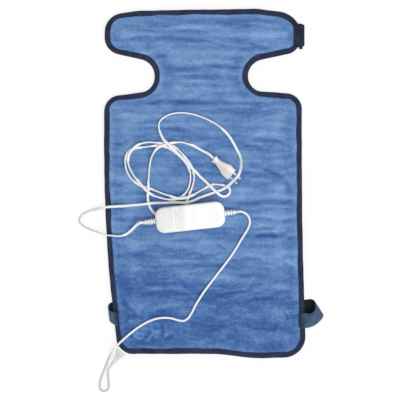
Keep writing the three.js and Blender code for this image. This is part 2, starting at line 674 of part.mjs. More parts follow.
function roundedBox(length, width, radius, z0, z1, bevel) {
  const corners = [
    [length / 2, -width / 2, radius],
    [length / 2, width / 2, radius],
    [-length / 2, width / 2, radius],
    [-length / 2, -width / 2, radius],
  ];
  const shrinkX = 1 - (2 * bevel) / length;
  const shrinkY = 1 - (2 * bevel) / width;
  const rim = roundedOutline(corners, 300).map(([x, y]) => [x * shrinkX, y * shrinkY]);
  const geometry = new THREE.ExtrudeGeometry(outlineOf(rim), {
    depth: z1 - z0 - 2 * bevel,
    bevelEnabled: bevel > 0,
    bevelSize: bevel,
    bevelThickness: bevel,
    bevelSegments: 3,
    steps: 1,
  });
  return geometry.translate(0, 0, z0 + bevel);
}

const roof = BOX_HEIGHT - BOX_WALL;
const fourCorners = (x, y) => [[x, y], [x, -y], [-x, y], [-x, -y]];
const screwAt = fourCorners(BOX_LENGTH / 2 - 8, BOX_WIDTH / 2 - 12.5);
const shell = toSolid(roundedBox(BOX_LENGTH, BOX_WIDTH, BOX_RADIUS, 0, BOX_HEIGHT, 3));
const roomLength = BOX_LENGTH - 2 * BOX_WALL;
const roomBreadth = BOX_WIDTH - 2 * BOX_WALL;
const hollow = roundedBox(roomLength, roomBreadth, BOX_RADIUS - 2, BOX_WALL, roof, 0);
const cutAway = (z) => blockSolid(2 * BOX_LENGTH, 2 * BOX_WIDTH, 60, 0, 0, z);
const reliefHoles = [1, -1].map((side) => {
  const hole = new THREE.CylinderGeometry(4.5, 4.5, 16, 12).rotateZ(Math.PI / 2);
  return toSolid(hole.translate((side * BOX_LENGTH) / 2, 0, BOX_SPLIT));
});

let base = shell.subtract(toSolid(hollow)).subtract(cutAway(BOX_SPLIT - GAP / 2 + 30));
screwAt.forEach(([x, y]) => {
  base = base.add(toSolid(rod(4, 1, BOX_SPLIT - GAP, x, y, 10)));
  base = base.subtract(toSolid(rod(3.2, -1, 5, x, y, 10)));
  base = base.subtract(toSolid(rod(1.8, 4, 20, x, y, 8)));
});
fourCorners(BOARD_LENGTH / 2 - 6, BOARD_WIDTH / 2 - 4).forEach(([x, y]) => {
  base = base.add(toSolid(rod(2.5, 1, BOARD_TOP - BOARD - GAP, x, y, 8)));
});
reliefHoles.forEach((hole) => {
  base = base.subtract(hole);
});
add(box, 'controller_base', toGeometry(base), whitePlastic);

let cover = shell.subtract(toSolid(hollow)).subtract(cutAway(BOX_SPLIT + GAP / 2 - 30));
screwAt.forEach(([x, y]) => {
  cover = cover.add(toSolid(rod(3.4, BOX_SPLIT + GAP, roof + 1, x, y, 10)));
  cover = cover.subtract(toSolid(rod(1.8, 4, roof - 3.8, x, y, 8)));
});
reliefHoles.forEach((hole) => {
  cover = cover.subtract(hole);
});
const buttonHole = roundedBox(BUTTON_LENGTH, BUTTON_WIDTH, 6, roof - 2, BOX_HEIGHT + 4, 0);
cover = cover.subtract(toSolid(buttonHole.translate(BUTTON_X, 0, 0)));
const bandLeft = WINDOW_X - 6.5;
const bandRight = BUTTON_X - BUTTON_LENGTH / 2 - 2;
const band = (left, right, z) => blockSolid(right - left, BOX_WIDTH + 4, 2, (left + right) / 2, 0, z);
cover = cover.subtract(band(bandLeft, bandRight, BOX_HEIGHT + 0.5));
cover = cover.subtract(band(WINDOW_X + 6.3, WINDOW_X + 7.5, BOX_HEIGHT - 0.2));
cover = cover.add(blockSolid(1.6, BOX_WIDTH - 8, 1.4, bandRight - 12, 0, BOX_HEIGHT - 0.9));
const windowLength = BOX_WIDTH - 15;
cover = cover.subtract(blockSolid(WINDOW_WIDTH + 2 * GAP, windowLength, 10, WINDOW_X, 0, BOX_HEIGHT));
add(box, 'controller_cover', toGeometry(cover), whitePlastic);

const windowPane = blockSolid(WINDOW_WIDTH, windowLength - 2 * GAP, BOX_WALL + 0.2, WINDOW_X, 0, roof + 0.2);
const windowLip = blockSolid(WINDOW_WIDTH + 2.6, windowLength + 3, 1.2, WINDOW_X, 0, roof - GAP - 0.6);
add(box, 'level_window', toGeometry(windowPane.add(windowLip)), lensPlastic);

// Heights inside the box: parts stand on the board, the plunger under the button's stem
const onBoard = BOARD_TOP + GAP;
const switchTop = onBoard + SWITCH_HEIGHT;
const plungerTop = switchTop + PLUNGER_RISE;

// Power button: a wide plate held under the cover by its lip, with a stem onto the switch
const plate = roundedBox(BUTTON_LENGTH - 0.8, BUTTON_WIDTH - 0.8, 5.6, roof - 1.4, BOX_HEIGHT + 0.9, 0.5);
const lip = roundedBox(BUTTON_LENGTH + 2, BUTTON_WIDTH + 2, 6.6, roof - GAP - 1.3, roof - GAP, 0);
const stem = rod(2.6, plungerTop + GAP, roof - 1, 0, 0, 10);
const button = toSolid(plate).add(toSolid(lip)).add(toSolid(stem)).translate([BUTTON_X, 0, 0]);
add(box, 'power_button', toGeometry(button), whitePlastic);

// Board and what it carries
const board = block(BOARD_LENGTH, BOARD_WIDTH, BOARD, 0, 0, BOARD_TOP - BOARD / 2);
add(box, 'circuit_board', board, boardGreen);
const standing = (sx, sy, sz, x, y) => block(sx, sy, sz, x, y, onBoard + sz / 2);
const switchCase = toSolid(standing(12, 12, SWITCH_HEIGHT, BUTTON_X, 0));
const boreFloor = switchTop - PLUNGER_SEAT - BUTTON_TRAVEL - 2 * GAP;
const plungerBore = toSolid(rod(3.6, boreFloor, switchTop + 1, BUTTON_X, 0, 12));
add(box, 'switch_body', toGeometry(switchCase.subtract(plungerBore)), blackPlastic);
add(box, 'switch_plunger', rod(3.2, switchTop - PLUNGER_SEAT, plungerTop, BUTTON_X, 0, 12), warmPlastic);
const ledHeight = roof - onBoard - 5.3;
[['led_low', -12], ['led_mid', 0], ['led_high', 12]].forEach(([name, y]) => {
  const profile = [
    [0, 0],
    [1.9, 0],
    [1.9, 1],
    [1.5, 1],
    [1.5, ledHeight - 1.6],
    [0.9, ledHeight - 0.4],
    [0, ledHeight],
  ];
  const led = new THREE.LatheGeometry(profile.map((p) => new THREE.Vector2(...p)), 8);
  add(box, name, led.rotateX(Math.PI / 2).translate(WINDOW_X, y, onBoard), lensPlastic);
});
const boardSide = BOARD_WIDTH / 2;
const fuse = new THREE.CylinderGeometry(2.5, 2.5, 15, 10).rotateZ(Math.PI / 2);
add(box, 'fuse', fuse.translate(-14, 5 - boardSide, onBoard + 2.5), steel);
add(box, 'capacitor', standing(14, 8, roof - onBoard - 4.9, -14, 1), warmPlastic);
add(box, 'triac', standing(10, 5, roof - onBoard - 2.9, -14, boardSide - 7), blackPlastic);
add(box, 'microchip', standing(9, 6, 2, 9, 7 - boardSide), blackPlastic);
const terminalX = BOARD_LENGTH / 2 - 3.5;
add(box, 'mains_terminal', standing(TERMINAL, 13, 8, -terminalX, 0), boardGreen);
add(box, 'pad_terminal', standing(TERMINAL, 13, 8, terminalX, 0), boardGreen);

// Ribbed bend reliefs, clamped between base and cover, and the cores inside
const reliefProfile = [
  [0, -4],
  [5.4, -4],
  [5.4, -GAP],
  [4.1, -GAP],
  [4.1, BOX_WALL + GAP],
  [4.9, BOX_WALL + GAP],
  [4.9, 5.4],
  [3.3, 5.8],
  [3.3, 7.6],
  [4.5, 8],
  [4.4, 10.6],
  [3.1, 11],
  [3.1, 12.8],
  [4.1, 13.2],
  [4, 15.8],
  [2.9, 16.2],
  [2.9, 18],
  [3.7, 18.4],
  [3.5, RELIEF_LENGTH + BOX_WALL],
  [0, RELIEF_LENGTH + BOX_WALL],
];
[['relief_pad', 1], ['relief_mains', -1]].forEach(([name, side]) => {
  const relief = new THREE.LatheGeometry(reliefProfile.map((p) => new THREE.Vector2(...p)), 10);
  relief.rotateZ((-side * Math.PI) / 2);
  relief.translate(side * (BOX_LENGTH / 2 - BOX_WALL), 0, BOX_SPLIT);
  add(box, name, relief, whiteVinyl);
  const inner = BOX_LENGTH / 2 - BOX_WALL - 4 - GAP;
  [['a', 1], ['b', -1]].forEach(([core, hand]) => {
    const line = [
      [side * inner, hand * 1.6, BOX_SPLIT],
      [side * (inner - 8), hand * 2.4, BOX_SPLIT + 1.4],
      [side * (terminalX + TERMINAL / 2 + GAP), hand * 3.2, BOX_SPLIT + 1],
    ];
    const coreName = side > 0 ? `pad_core_${core}` : `mains_core_${core}`;
    add(box, coreName, tube(smoothLine(line, 4), 0.9, 0.9, 6), hand > 0 ? redWire : blackPlastic);
  });
});

// Self-tapping screws up through the base
screwAt.forEach(([x, y], i) => {
  const profile = [[0, 3.2], [2.7, 3.2], [2.7, 4.7], [1.4, 4.7], [1.4, roof - 5.8], [0, roof - 4.8]];
  const screw = new THREE.LatheGeometry(profile.map((p) => new THREE.Vector2(...p)), 10);
  add(box, `screw_${i + 1}`, screw.rotateX(Math.PI / 2).translate(x, y, 0), steel);
});

// Flat mains plug, in its own frame: +X out along the pins, x = 0 at the cord's end
const plug = new THREE.Group();
const plugTilt = new THREE.Matrix4().makeRotationX(PLUG_ROLL);
plugTilt.premultiply(new THREE.Matrix4().makeRotationY(-PLUG_PITCH));
plugTilt.premultiply(new THREE.Matrix4().makeRotationZ(PLUG_TURN));
const plugStations = [
  [0, 9.4, 4.2],
  [2.6, 10.6, 4.5],
  [3.8, 7.8, 4.4],
  [8, 6.3, 4.5],
  [13, 7, 4.8],
  [26, 14.4, 6.1],
  [33, PLUG_WIDTH / 2, PLUG_HEIGHT / 2],
  [PLUG_LENGTH, PLUG_WIDTH / 2 - 0.8, PLUG_HEIGHT / 2],
];
const plugSection = [
  [1, 0.3],
  [0.66, 1],
  [-0.66, 1],
  [-1, 0.3],
  [-1, -0.3],
  [-0.66, -1],
  [0.66, -1],
  [1, -0.3],
];
function plugSkin() {
  const points = [];
  plugStations.forEach(([x, w, h]) => {
    plugSection.forEach(([a, b]) => points.push(V(x, a * w, b * h)));
  });
  const triangles = [];
  for (let i = 0; i + 1 < plugStations.length; i += 1) {
    for (let k = 0; k < 8; k += 1) {
      const a = i * 8 + k;
      const b = i * 8 + ((k + 1) % 8);
      triangles.push(a, b, b + 8, a, b + 8, a + 8);
    }
  }
  const end = (plugStations.length - 1) * 8;
  for (let k = 1; k < 7; k += 1) {
    triangles.push(0, k + 1, k, end, end + k, end + k + 1);
  }
  return skin(points, triangles);
}
let plugBody = toSolid(plugSkin());
const pinRoot = PLUG_LENGTH - 7;
const pinRadius = PIN_DIAMETER / 2;
const boreRadius = pinRadius + 0.2;
const sleeveOuter = pinRadius - 0.1;
const sleeveInner = pinRadius - 0.5;
const shankRadius = sleeveInner - GAP;
[['a', 1], ['b', -1]].forEach(([name, side]) => {
  const y = (side * PIN_SPACING) / 2;
  const along = (geometry) => geometry.rotateZ(-Math.PI / 2).translate(0, y, 0);
  const boreRod = new THREE.CylinderGeometry(boreRadius, boreRadius, 12, 10);
  const bore = along(boreRod.translate(0, pinRoot + 6, 0));
  plugBody = plugBody.subtract(toSolid(bore));
  const tip = PLUG_LENGTH + PIN_LENGTH;
  const pinProfile = [
    [0, pinRoot + GAP],
    [shankRadius, pinRoot + GAP],
    [shankRadius, tip - PIN_BARE + GAP],
    [pinRadius, tip - PIN_BARE + GAP],
    [pinRadius, tip - 1.6],
    [1, tip],
    [0, tip],
  ];
  const pin = new THREE.LatheGeometry(pinProfile.map((p) => new THREE.Vector2(...p)), 10);
  add(plug, `pin_${name}`, along(pin), brass);
  const sleeveProfile = [
    [sleeveInner, pinRoot + GAP],
    [sleeveOuter, pinRoot + GAP],
    [sleeveOuter, tip - PIN_BARE],
    [sleeveInner, tip - PIN_BARE],
    [sleeveInner, pinRoot + GAP],
  ];
  const sleeve = new THREE.LatheGeometry(sleeveProfile.map((p) => new THREE.Vector2(...p)), 10);
  add(plug, `pin_sleeve_${name}`, along(sleeve), blackPlastic);
});
const plugShape = toGeometry(plugBody);
const plugAsTurned = new THREE.Mesh(plugShape.clone().applyMatrix4(plugTilt));
const plugLow = new THREE.Box3().setFromObject(plugAsTurned).min.z;
plugTilt.setPosition(PLUG_AT[0], PLUG_AT[1], PAD_CREST + GAP - plugLow);
plug.applyMatrix4(plugTilt);
add(plug, 'plug_body', plugShape, whitePlastic);
control.add(plug);

// Routes of the two leads as [x, y, height], read along the way they lie.
// Heights are for a pad crest of 14 mm and follow the crest where the lead lies on the pad.
const ROUTE_CREST = 14;
const mainsRoute = [
  [-133, -83.6, 24.2], [-142, -92.5, 19.2], [-153, -101, 15.9], [-167, -105, 15.9], [-182, -104, 15.4],
  [-193, -103, 13.1], [-204, -100, 8.9], [-216, -96, 4.4], [-229, -91, 2], [-240, -85, 2],
  [-248, -76, 2], [-246, -67, 2], [-237, -59, 2], [-225, -54, 2.8], [-213, -51, 6.6],
  [-202, -49, 11.2], [-192, -47, 13.9], [-178, -46, 15.6], [-158, -45, 15.9], [-136, -43, 16.3],
  [-122, -42, 18.2], [-109, -40, 20.3], [-96, -39, 18.2], [-81, -39, 16.2], [-60, -38, 15.9],
  [-47, -38, 17.2], [-34, -38, 20.3], [-21, -35, 18], [-8, -29, 15.9], [11, -22, 15.9],
  [30, -15.4, 15.9], [37.5, -12.4, 17.2], [44, -9, 20], [50.5, -4.4, 24], [56, 0.8, 29],
  [60.8, 5.6, 34.6], [64.6, 9.4, 41], [67.6, 12.6, 44.6], [70.2, 16.4, 45.8], [72.6, 22, 45],
  [74.4, 28.6, 41.2], [75.6, 36, 34.6], [75.8, 43.5, 27.4], [75, 50.5, 21], [72.6, 57.5, 17],
  [69, 65, 15.9], [61, 80, 15.9], [50, 97, 15.9], [31, 115, 15.9], [8, 128, 15.9],
  [-16, 137, 15.9], [-40, 141, 15.9], [-62, 139, 15.9], [-78, 132, 15.9], [-87, 122, 15.9],
  [-88, 110, 16.6], [-84, 98, 19.7], [-78, 87, 23.3], [-70, 79, 24.3], [-62, 71, 23.3],
  [-52, 61, 20.7], [-38, 47, 20.2], [-25, 34, 20.2], [-15, 24, 20], [-6, 14, 18.4],
  [3, 6, 18.8], [12, -3, 20.3], [20, -11, 20.3], [28, -18, 20.2], [35, -24, 17.8],
  [43, -26, 16.4], [51, -22, 15.9], [54, -14, 15.9], [50, -7, 15.9], [42, -4, 15.9],
  [32, -2, 15.9], [20, -2, 15.9], [6, -8, 15.9], [-8, -16, 16.4], [-18, -22, 18.6],
  [-27, -26, 20.2], [-37, -29, 20.2], [-47, -30, 20.2], [-57, -28, 20.2], [-67, -24, 18.2],
  [-78, -21, 16.2], [-93, -15, 15.9], [-109, -9, 15.9], [-120, -6, 15.9], [-130, -1, 15.9],
  [-139.8, 6, 15.9], [-147.8, 16, 15.9], [-152.8, 26.5, 15.9], [-154.8, 37, 15.9],
  [-154.9, 47, 15.9], [-152.2, 57.5, 15.9], [-146.4, 65.4, 15.9], [-137.5, 69.8, 15.9],
  [-126, 71.6, 15.9], [-112, 73.2, 15.9], [-99, 74.8, 15.9], [-87, 75.2, 15.9],
  [-76, 73.4, 15.9], [-66, 69.6, 15.9], [-57, 63.4, 15.9], [-47, 55, 15.9],
  [-38, 46, 15.9], [-31, 36.4, 15.9], [-26.4, 25.4, 15.9], [-25, 13.4, 15.9],
  [-26, 2, 15.9], [-29, -9, 15.9], [-35, -19, 15.9], [-43, -27, 15.9], [-53, -31, 15.9],
  [-64, -32, 15.9], [-75, -31, 15.9], [-87, -28, 18], [-98, -24, 22.4], [-107, -19, 24.2],
  [-115, -12, 23.9], [-122, -4, 22.3], [-129, 5, 20.3], [-136.3, 13.4, 18.3], [-143.3, 25, 16.4],
  [-148.6, 37, 16.2], [-149.4, 48, 18.6], [-146.4, 59.5, 20.3], [-139.5, 69, 20.4], [-131, 76, 20],
  [-122, 80, 17.6], [-111, 82, 16.1], [-101, 82, 15.9], [-91, 81, 15.9], [-80, 80, 15.9],
  [-70, 78, 15.9], [-61, 75, 15.9], [-52, 69, 15.9], [-43, 60, 15.9], [-34, 50, 15.9],
  [-26, 39, 15.9], [-20, 27, 15.9], [-18, 15, 15.9], [-19, 3, 15.9], [-22, -8, 15.9],
  [-26, -18, 15.9], [-29, -27, 15.9], [-32, -35, 15.9], [-34, -42, 15.9], [-36, -48, 15.9],
  [-42, -55, 15.9], [-51, -61, 15.9], [-64, -66, 15.9], [-77, -68, 15.9], [-88, -65, 15.9],
  [-97, -59, 15.9], [-104, -51, 15.9], [-107, -45, 15.9], [-109, -38, 15.9], [-110, -30, 17.2],
  [-110, -22, 19.9], [-109, -13, 20.2], [-109, -5, 19.9], [-109, 5, 17.4], [-108, 16, 16],
  [-107, 30, 15.9], [-105, 43, 15.9], [-102, 54, 16.3], [-97, 63, 18.2], [-91, 70, 20.2],
  [-84, 74, 20.2], [-76, 77, 20.2], [-68, 80, 20.2], [-60, 81, 19.7], [-51, 82, 17],
  [-42, 82, 16], [-30, 79, 15.9], [-18, 75, 15.9], [-6, 68, 16.6],
];
const padRoute = [
  [76, -56, 24.6], [84.5, -59.5, 21.4], [91, -66.5, 17.8], [93.4, -76, 16.6], [91.6, -86, 16.5],
  [86, -96.5, 16.5], [77, -111, 16.5], [60, -139, 16.5], [41, -165, 16.5], [20, -192, 16.5],
  [0, -219, 16.5], [-15, -243, 16.5], [-23, -259, 16.5], [-30, -269, 16.5], [-38, -274, 16.5],
  [-49, -273, 16.5], [-63, -269, 16.5], [-79, -268, 16.5], [-94, -270, 16.5], [-110, -276, 16.5],
  [-126, -285, 16.5], [-141, -296, 16.5], [-153, -306, 16.2], [-163, -315, 14.8], [-171, -323, 13.4],
  [-178, -331, 11.8], [-183, -340, 7.8], [-189, -351, 3.4], [-194, -364, 2.4], [-199, -377, 2.4],
  [-204.4, -391, 2.4], [-206.5, -400, 2.4], [-206.9, -407.6, 2.4], [-204.3, -413.9, 2.4],
  [-198, -416.5, 2.4], [-191.7, -413.9, 2.4], [-189.1, -407.6, 2.4], [-189.3, -399, 2.4],
  [-189.9, -390, 2.4], [-190.2, -381, 2.9], [-189.9, -373.6, 4.1],
];
const follow = ([x, y, z]) => [x, y, z + (PAD_CREST - ROUTE_CREST) * Math.min(1, z / 12)];
const point = (matrix, x, y, z) => V(x, y, z).applyMatrix4(matrix).toArray();
const boxEnd = BOX_LENGTH / 2 + RELIEF_LENGTH;
const noseEnd = CONNECTOR_LENGTH + NOSE_LENGTH + 0.4;

const plugTail = point(plugTilt, -13, 0, 0);
plugTail[2] -= 1.6;

const mainsLine = smoothLine(
  [
    point(tilt, -boxEnd - GAP, 0, BOX_SPLIT),
    point(tilt, -boxEnd - 7, 0, BOX_SPLIT - 0.2),
    ...mainsRoute.map(follow),
    plugTail,
    point(plugTilt, -5, 0, 0),
    point(plugTilt, -2 * GAP, 0, 0),
  ],
  10.5,
);
add(control, 'mains_lead', tube(mainsLine, MAINS_WIDTH / 2, MAINS_THICKNESS / 2, 6), whiteVinyl);

const padLine = smoothLine(
  [
    point(tilt, boxEnd + GAP, 0, BOX_SPLIT),
    ...padRoute.map(follow),
    point(connectorFrame, noseEnd + 5.5, 0, -0.5),
    point(connectorFrame, noseEnd + 2.6, 0, 0),
    point(connectorFrame, noseEnd + 2 * GAP, 0, 0),
  ],
  9,
);
add(control, 'pad_lead', tube(padLine, PAD_LEAD_DIAMETER / 2, PAD_LEAD_DIAMETER / 2, 6), whiteVinyl);

// Least distance between strands of the mains lead, and the lengths of the leads
function strandGap(line, width, thickness) {
  let least = Infinity;
  for (let i = 0; i < line.length; i += 1) {
    for (let j = i + 5; j < line.length; j += 1) {
      const plan = Math.hypot(line[i].x - line[j].x, line[i].y - line[j].y) - width;
      const rise = Math.abs(line[i].z - line[j].z) - thickness;
      least = Math.min(least, Math.max(plan, rise));
    }
  }
  return least;
}
const lengthOf = (line) => line.slice(1).reduce((sum, p, i) => sum + p.distanceTo(line[i]), 0);
const mainsGap = strandGap(mainsLine, MAINS_WIDTH, MAINS_THICKNESS);
const padGap = strandGap(padLine, PAD_LEAD_DIAMETER, PAD_LEAD_DIAMETER);
console.log('mains lead', lengthOf(mainsLine).toFixed(0), 'gap', mainsGap.toFixed(2));
console.log('pad lead', lengthOf(padLine).toFixed(0), 'gap', padGap.toFixed(2));

export default part;
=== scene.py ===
# %% [markdown]
# # A neck-and-back heating pad with its hand controller
#
# The pad lies flat with its plush face up, and its lead lies loosely bundled on it.
# The solids of the construction come in as a fixed frame, in metres, with +Z up.
# Every piece below is modelled over that frame and rides on one of its bodies.

# %% Load the construction
import json
import math

import bpy
import numpy as np
from mathutils import Matrix, Vector, noise


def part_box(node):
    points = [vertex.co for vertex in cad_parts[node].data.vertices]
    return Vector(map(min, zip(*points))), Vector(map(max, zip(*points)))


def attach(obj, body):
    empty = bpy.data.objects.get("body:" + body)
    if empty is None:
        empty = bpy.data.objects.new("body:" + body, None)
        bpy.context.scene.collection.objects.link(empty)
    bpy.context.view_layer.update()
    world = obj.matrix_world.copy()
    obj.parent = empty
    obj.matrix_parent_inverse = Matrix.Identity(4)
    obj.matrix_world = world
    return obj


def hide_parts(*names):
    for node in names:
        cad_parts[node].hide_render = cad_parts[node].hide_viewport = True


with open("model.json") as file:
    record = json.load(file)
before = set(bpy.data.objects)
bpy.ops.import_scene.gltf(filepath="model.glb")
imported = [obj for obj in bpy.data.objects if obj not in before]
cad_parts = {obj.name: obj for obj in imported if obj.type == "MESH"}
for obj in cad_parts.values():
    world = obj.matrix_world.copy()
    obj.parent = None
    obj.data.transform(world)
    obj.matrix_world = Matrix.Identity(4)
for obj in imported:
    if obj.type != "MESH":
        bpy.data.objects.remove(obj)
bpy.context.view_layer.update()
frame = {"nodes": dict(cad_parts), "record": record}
nodes = frame["nodes"]
MM = 0.001

# %% [markdown]
# ## The camera
#
# The photograph looks straight down. A long lens high above the pad keeps the view almost
# parallel, so the pad's edges stay straight and the tall controller leans outwards only a little.
# One pixel of the 400 pixel frame is 2 mm on the pad.

# %% Camera
PIXEL = 2 * MM
FRAME_SIDE = 400 * PIXEL
VIEW_MIDDLE = Vector((-6 * MM, -33 * MM, 10 * MM))
CAMERA_HEIGHT = 3.0
SENSOR = 36.0

bpy.ops.object.select_all(action="DESELECT")
bpy.ops.object.camera_add(location=VIEW_MIDDLE + Vector((0, 0, CAMERA_HEIGHT)), rotation=(0, 0, 0))
camera = bpy.context.object
camera.data.sensor_width = SENSOR
camera.data.lens = SENSOR * CAMERA_HEIGHT / FRAME_SIDE
bpy.context.scene.camera = camera
print("lens", round(camera.data.lens, 1), "mm")

# %% [markdown]
# ## Small helpers
#
# Operators work on what is selected, so one helper adds a primitive alone in the selection, one
# selects a single piece, and others pick its points or edges. A piece is modelled about the
# origin and then laid in place, with its place kept in its mesh.

# %% Helpers for modelling
def choose(piece):
    bpy.ops.object.select_all(action="DESELECT")
    piece.select_set(True)
    bpy.context.view_layer.objects.active = piece


def add(name, primitive, **settings):
    """New object from one of Blender's add operators, alone in the selection."""
    bpy.ops.object.select_all(action="DESELECT")
    primitive(**settings)
    piece = bpy.context.object
    piece.name = name
    piece.data.name = name
    return piece


def start_edit(piece, kind):
    choose(piece)
    bpy.ops.object.mode_set(mode="EDIT")
    bpy.ops.mesh.select_mode(type=kind)
    bpy.ops.mesh.select_all(action="DESELECT")


def end_edit():
    bpy.ops.object.mode_set(mode="OBJECT")


def pick_points(piece, wanted):
    start_edit(piece, "VERT")
    end_edit()
    for point in piece.data.vertices:
        point.select = bool(wanted(point))
    bpy.ops.object.mode_set(mode="EDIT")


def pick_edges(piece, wanted):
    start_edit(piece, "EDGE")
    end_edit()
    points = piece.data.vertices
    for edge in piece.data.edges:
        a, b = (points[i].co for i in edge.vertices)
        edge.select = bool(wanted(a, b))
    bpy.ops.object.mode_set(mode="EDIT")


def modify(piece, kind, **settings):
    choose(piece)
    modifier = piece.modifiers.new(kind.lower(), kind)
    for key, value in settings.items():
        setattr(modifier, key, value)
    bpy.ops.object.modifier_apply(modifier=modifier.name)


def carve(piece, cutter, operation="DIFFERENCE"):
    modify(piece, "BOOLEAN", operation=operation, object=cutter, solver="EXACT")
    bpy.data.objects.remove(cutter)


# Points that are nearer than this are one point, in millimetres.
SAME_POINT = 1e-3


def close_seams(piece, within):
    """Merge doubled points and turn all faces outwards."""
    start_edit(piece, "VERT")
    bpy.ops.mesh.select_all(action="SELECT")
    bpy.ops.mesh.remove_doubles(threshold=within)
    bpy.ops.mesh.normals_make_consistent(inside=False)
    end_edit()


def smooth(piece, degrees):
    choose(piece)
    bpy.ops.object.shade_smooth_by_angle(angle=math.radians(degrees))


def shift(piece, x, y=0.0, z=0.0):
    piece.data.transform(Matrix.Translation((x, y, z)))


def mesh_piece(name, points, faces):
    mesh = bpy.data.meshes.new(name)
    mesh.from_pydata([tuple(p) for p in points], [], faces)
    mesh.update()
    piece = bpy.data.objects.new(name, mesh)
    bpy.context.scene.collection.objects.link(piece)
    return piece


# %% [markdown]
# ## Frames of the loose pieces
#
# The controller lies a little tilted on the strand of lead that passes under it. The plug lies
# rolled on its edge. Their places repeat the construction's own sizes, in millimetres.

# %% How the pad lies
PAD_LENGTH, BODY_WIDTH = 700.0, 396.0
TOP, HALF = PAD_LENGTH / 2, BODY_WIDTH / 2
LAY_FROM, LAY_SHIFT, LAY_DRAW_IN = 66.0, 19.0, 10.0
LAY_HEM_LIFT, LAY_CORNER_LIFT, LAY_LIFT_RUN = 9.0, 3.0, 100.0


def eased(share):
    """Soft step from 0 to 1."""
    share = np.clip(share, 0, 1)
    return share * share * (3 - 2 * share)


def lay(x, y):
    """Where a point of the flat pattern lies: the lower end is drawn to the right, the hem up."""
    down = max(0.0, LAY_FROM - y) / (LAY_FROM + TOP)
    pull = down * down
    lift = LAY_HEM_LIFT * eased((LAY_LIFT_RUN - x) / LAY_LIFT_RUN)
    lift += LAY_CORNER_LIFT * eased((x - LAY_LIFT_RUN) / LAY_LIFT_RUN)
    return x + pull * (LAY_SHIFT - LAY_DRAW_IN * x / HALF), y + pull * lift


# %% Places of the controller, the plug and the connector
PAD_CREST = 14.0
CLEARANCE = 0.3
BOX_LENGTH, BOX_WIDTH, BOX_HEIGHT = 138.0, 51.0, 24.0
BOX_SPLIT, BOX_WALL = 9.5, 2.2
BOX_AT = (-26.0, -67.0)
BOX_TURN, BOX_ROLL, BOX_PITCH = (math.radians(a) for a in (6.4, 2.1, 1.5))
RELIEF_LENGTH = 24.0
box_frame = Matrix.Rotation(BOX_TURN, 4, "Z") @ Matrix.Rotation(BOX_ROLL, 4, "X")
box_frame = box_frame @ Matrix.Rotation(BOX_PITCH, 4, "Y")
low_corner = box_frame @ Vector((BOX_LENGTH / 2, -BOX_WIDTH / 2, 0))
box_frame.translation = (*BOX_AT, PAD_CREST + CLEARANCE - low_corner.z)

PLUG_AT = (22.0, 49.0)
PLUG_TURN, PLUG_ROLL, PLUG_PITCH = (math.radians(a) for a in (-42.4, 54, 5))
# Stations along the plug: distance from the cord's end, half width and half height.
PLUG_STATIONS = ((0, 9.4, 4.2), (2.6, 10.6, 4.5), (3.8, 7.8, 4.4), (8, 6.3, 4.5),
                 (13, 7, 4.8), (26, 14.4, 6.1), (33, 17.65, 6.85), (48, 16.85, 6.85))
PLUG_LENGTH = PLUG_STATIONS[-1][0]
# Corners of its eight-sided section, as shares of the half width and half height.
PLUG_SIDE, PLUG_FLAT = 0.3, 0.66
plug_corners = [(a, b * PLUG_SIDE) for a in (1, -1) for b in (1, -1)]
plug_corners += [(a * PLUG_FLAT, b) for a in (1, -1) for b in (1, -1)]
plug_frame = Matrix.Rotation(PLUG_TURN, 4, "Z") @ Matrix.Rotation(-PLUG_PITCH, 4, "Y")
plug_frame = plug_frame @ Matrix.Rotation(PLUG_ROLL, 4, "X")
plug_low = min((plug_frame @ Vector((x, a * w, b * h))).z
               for x, w, h in PLUG_STATIONS for a, b in plug_corners)
plug_frame.translation = (*PLUG_AT, PAD_CREST + CLEARANCE - plug_low)

HEM_RADIUS = 28.0
EDGE_MID = 6.4
CONNECTOR_TURN = math.radians(-127)
CONNECTOR_LENGTH, NOSE_LENGTH = 26.0, 7.0
hem_x, hem_y = lay(-HALF + HEM_RADIUS, -TOP + HEM_RADIUS)
connector_frame = Matrix.Rotation(CONNECTOR_TURN, 4, "Z")
connector_frame.translation = (hem_x + HEM_RADIUS * math.cos(CONNECTOR_TURN),
                               hem_y + HEM_RADIUS * math.sin(CONNECTOR_TURN), EDGE_MID)
# Where a piece that is modelled in millimetres about its own origin goes.
to_metres = Matrix.Scale(MM, 4)
box_place, plug_place, connector_place = (to_metres @ f for f in (box_frame, plug_frame, connector_frame))
print("plug stands", round(plug_frame.translation.z, 2), "mm high at its cord end")

# %% [markdown]
# ## The two leads
#
# A flat twin lead runs from the controller to the plug, and a thin round lead runs from the
# controller to the pad's connector. Both show from end to end, so their length is what their
# route measures. A lead is a section swept along a smooth curve through given points.
# The flat one stands on its narrow edge where it loops, as a flat cable does, and lies on its
# broad side where it runs straight.

# %% Smooth curve through points
SPAN_STEPS = 16


def smooth_line(points, step):
    """Centripetal Catmull-Rom curve through the points, at even steps."""
    p = np.array(points, float)
    p = np.vstack([2 * p[0] - p[1], p, 2 * p[-1] - p[-2]])
    dense = []
    for a, b, c, d in zip(p[:-3], p[1:-2], p[2:-1], p[3:]):
        t0 = 0.0
        t1 = t0 + np.linalg.norm(b - a) ** 0.5
        t2 = t1 + np.linalg.norm(c - b) ** 0.5
        t3 = t2 + np.linalg.norm(d - c) ** 0.5
        for t in np.linspace(t1, t2, SPAN_STEPS, endpoint=False):
            ab = ((t1 - t) * a + (t - t0) * b) / (t1 - t0)
            bc = ((t2 - t) * b + (t - t1) * c) / (t2 - t1)
            cd = ((t3 - t) * c + (t - t2) * d) / (t3 - t2)
            abc = ((t2 - t) * ab + (t - t0) * bc) / (t2 - t0)
            bcd = ((t3 - t) * bc + (t - t1) * cd) / (t3 - t1)
            dense.append(((t2 - t) * abc + (t - t1) * bcd) / (t2 - t1))
    dense.append(p[-2])
    return even_steps(np.array(dense), step)


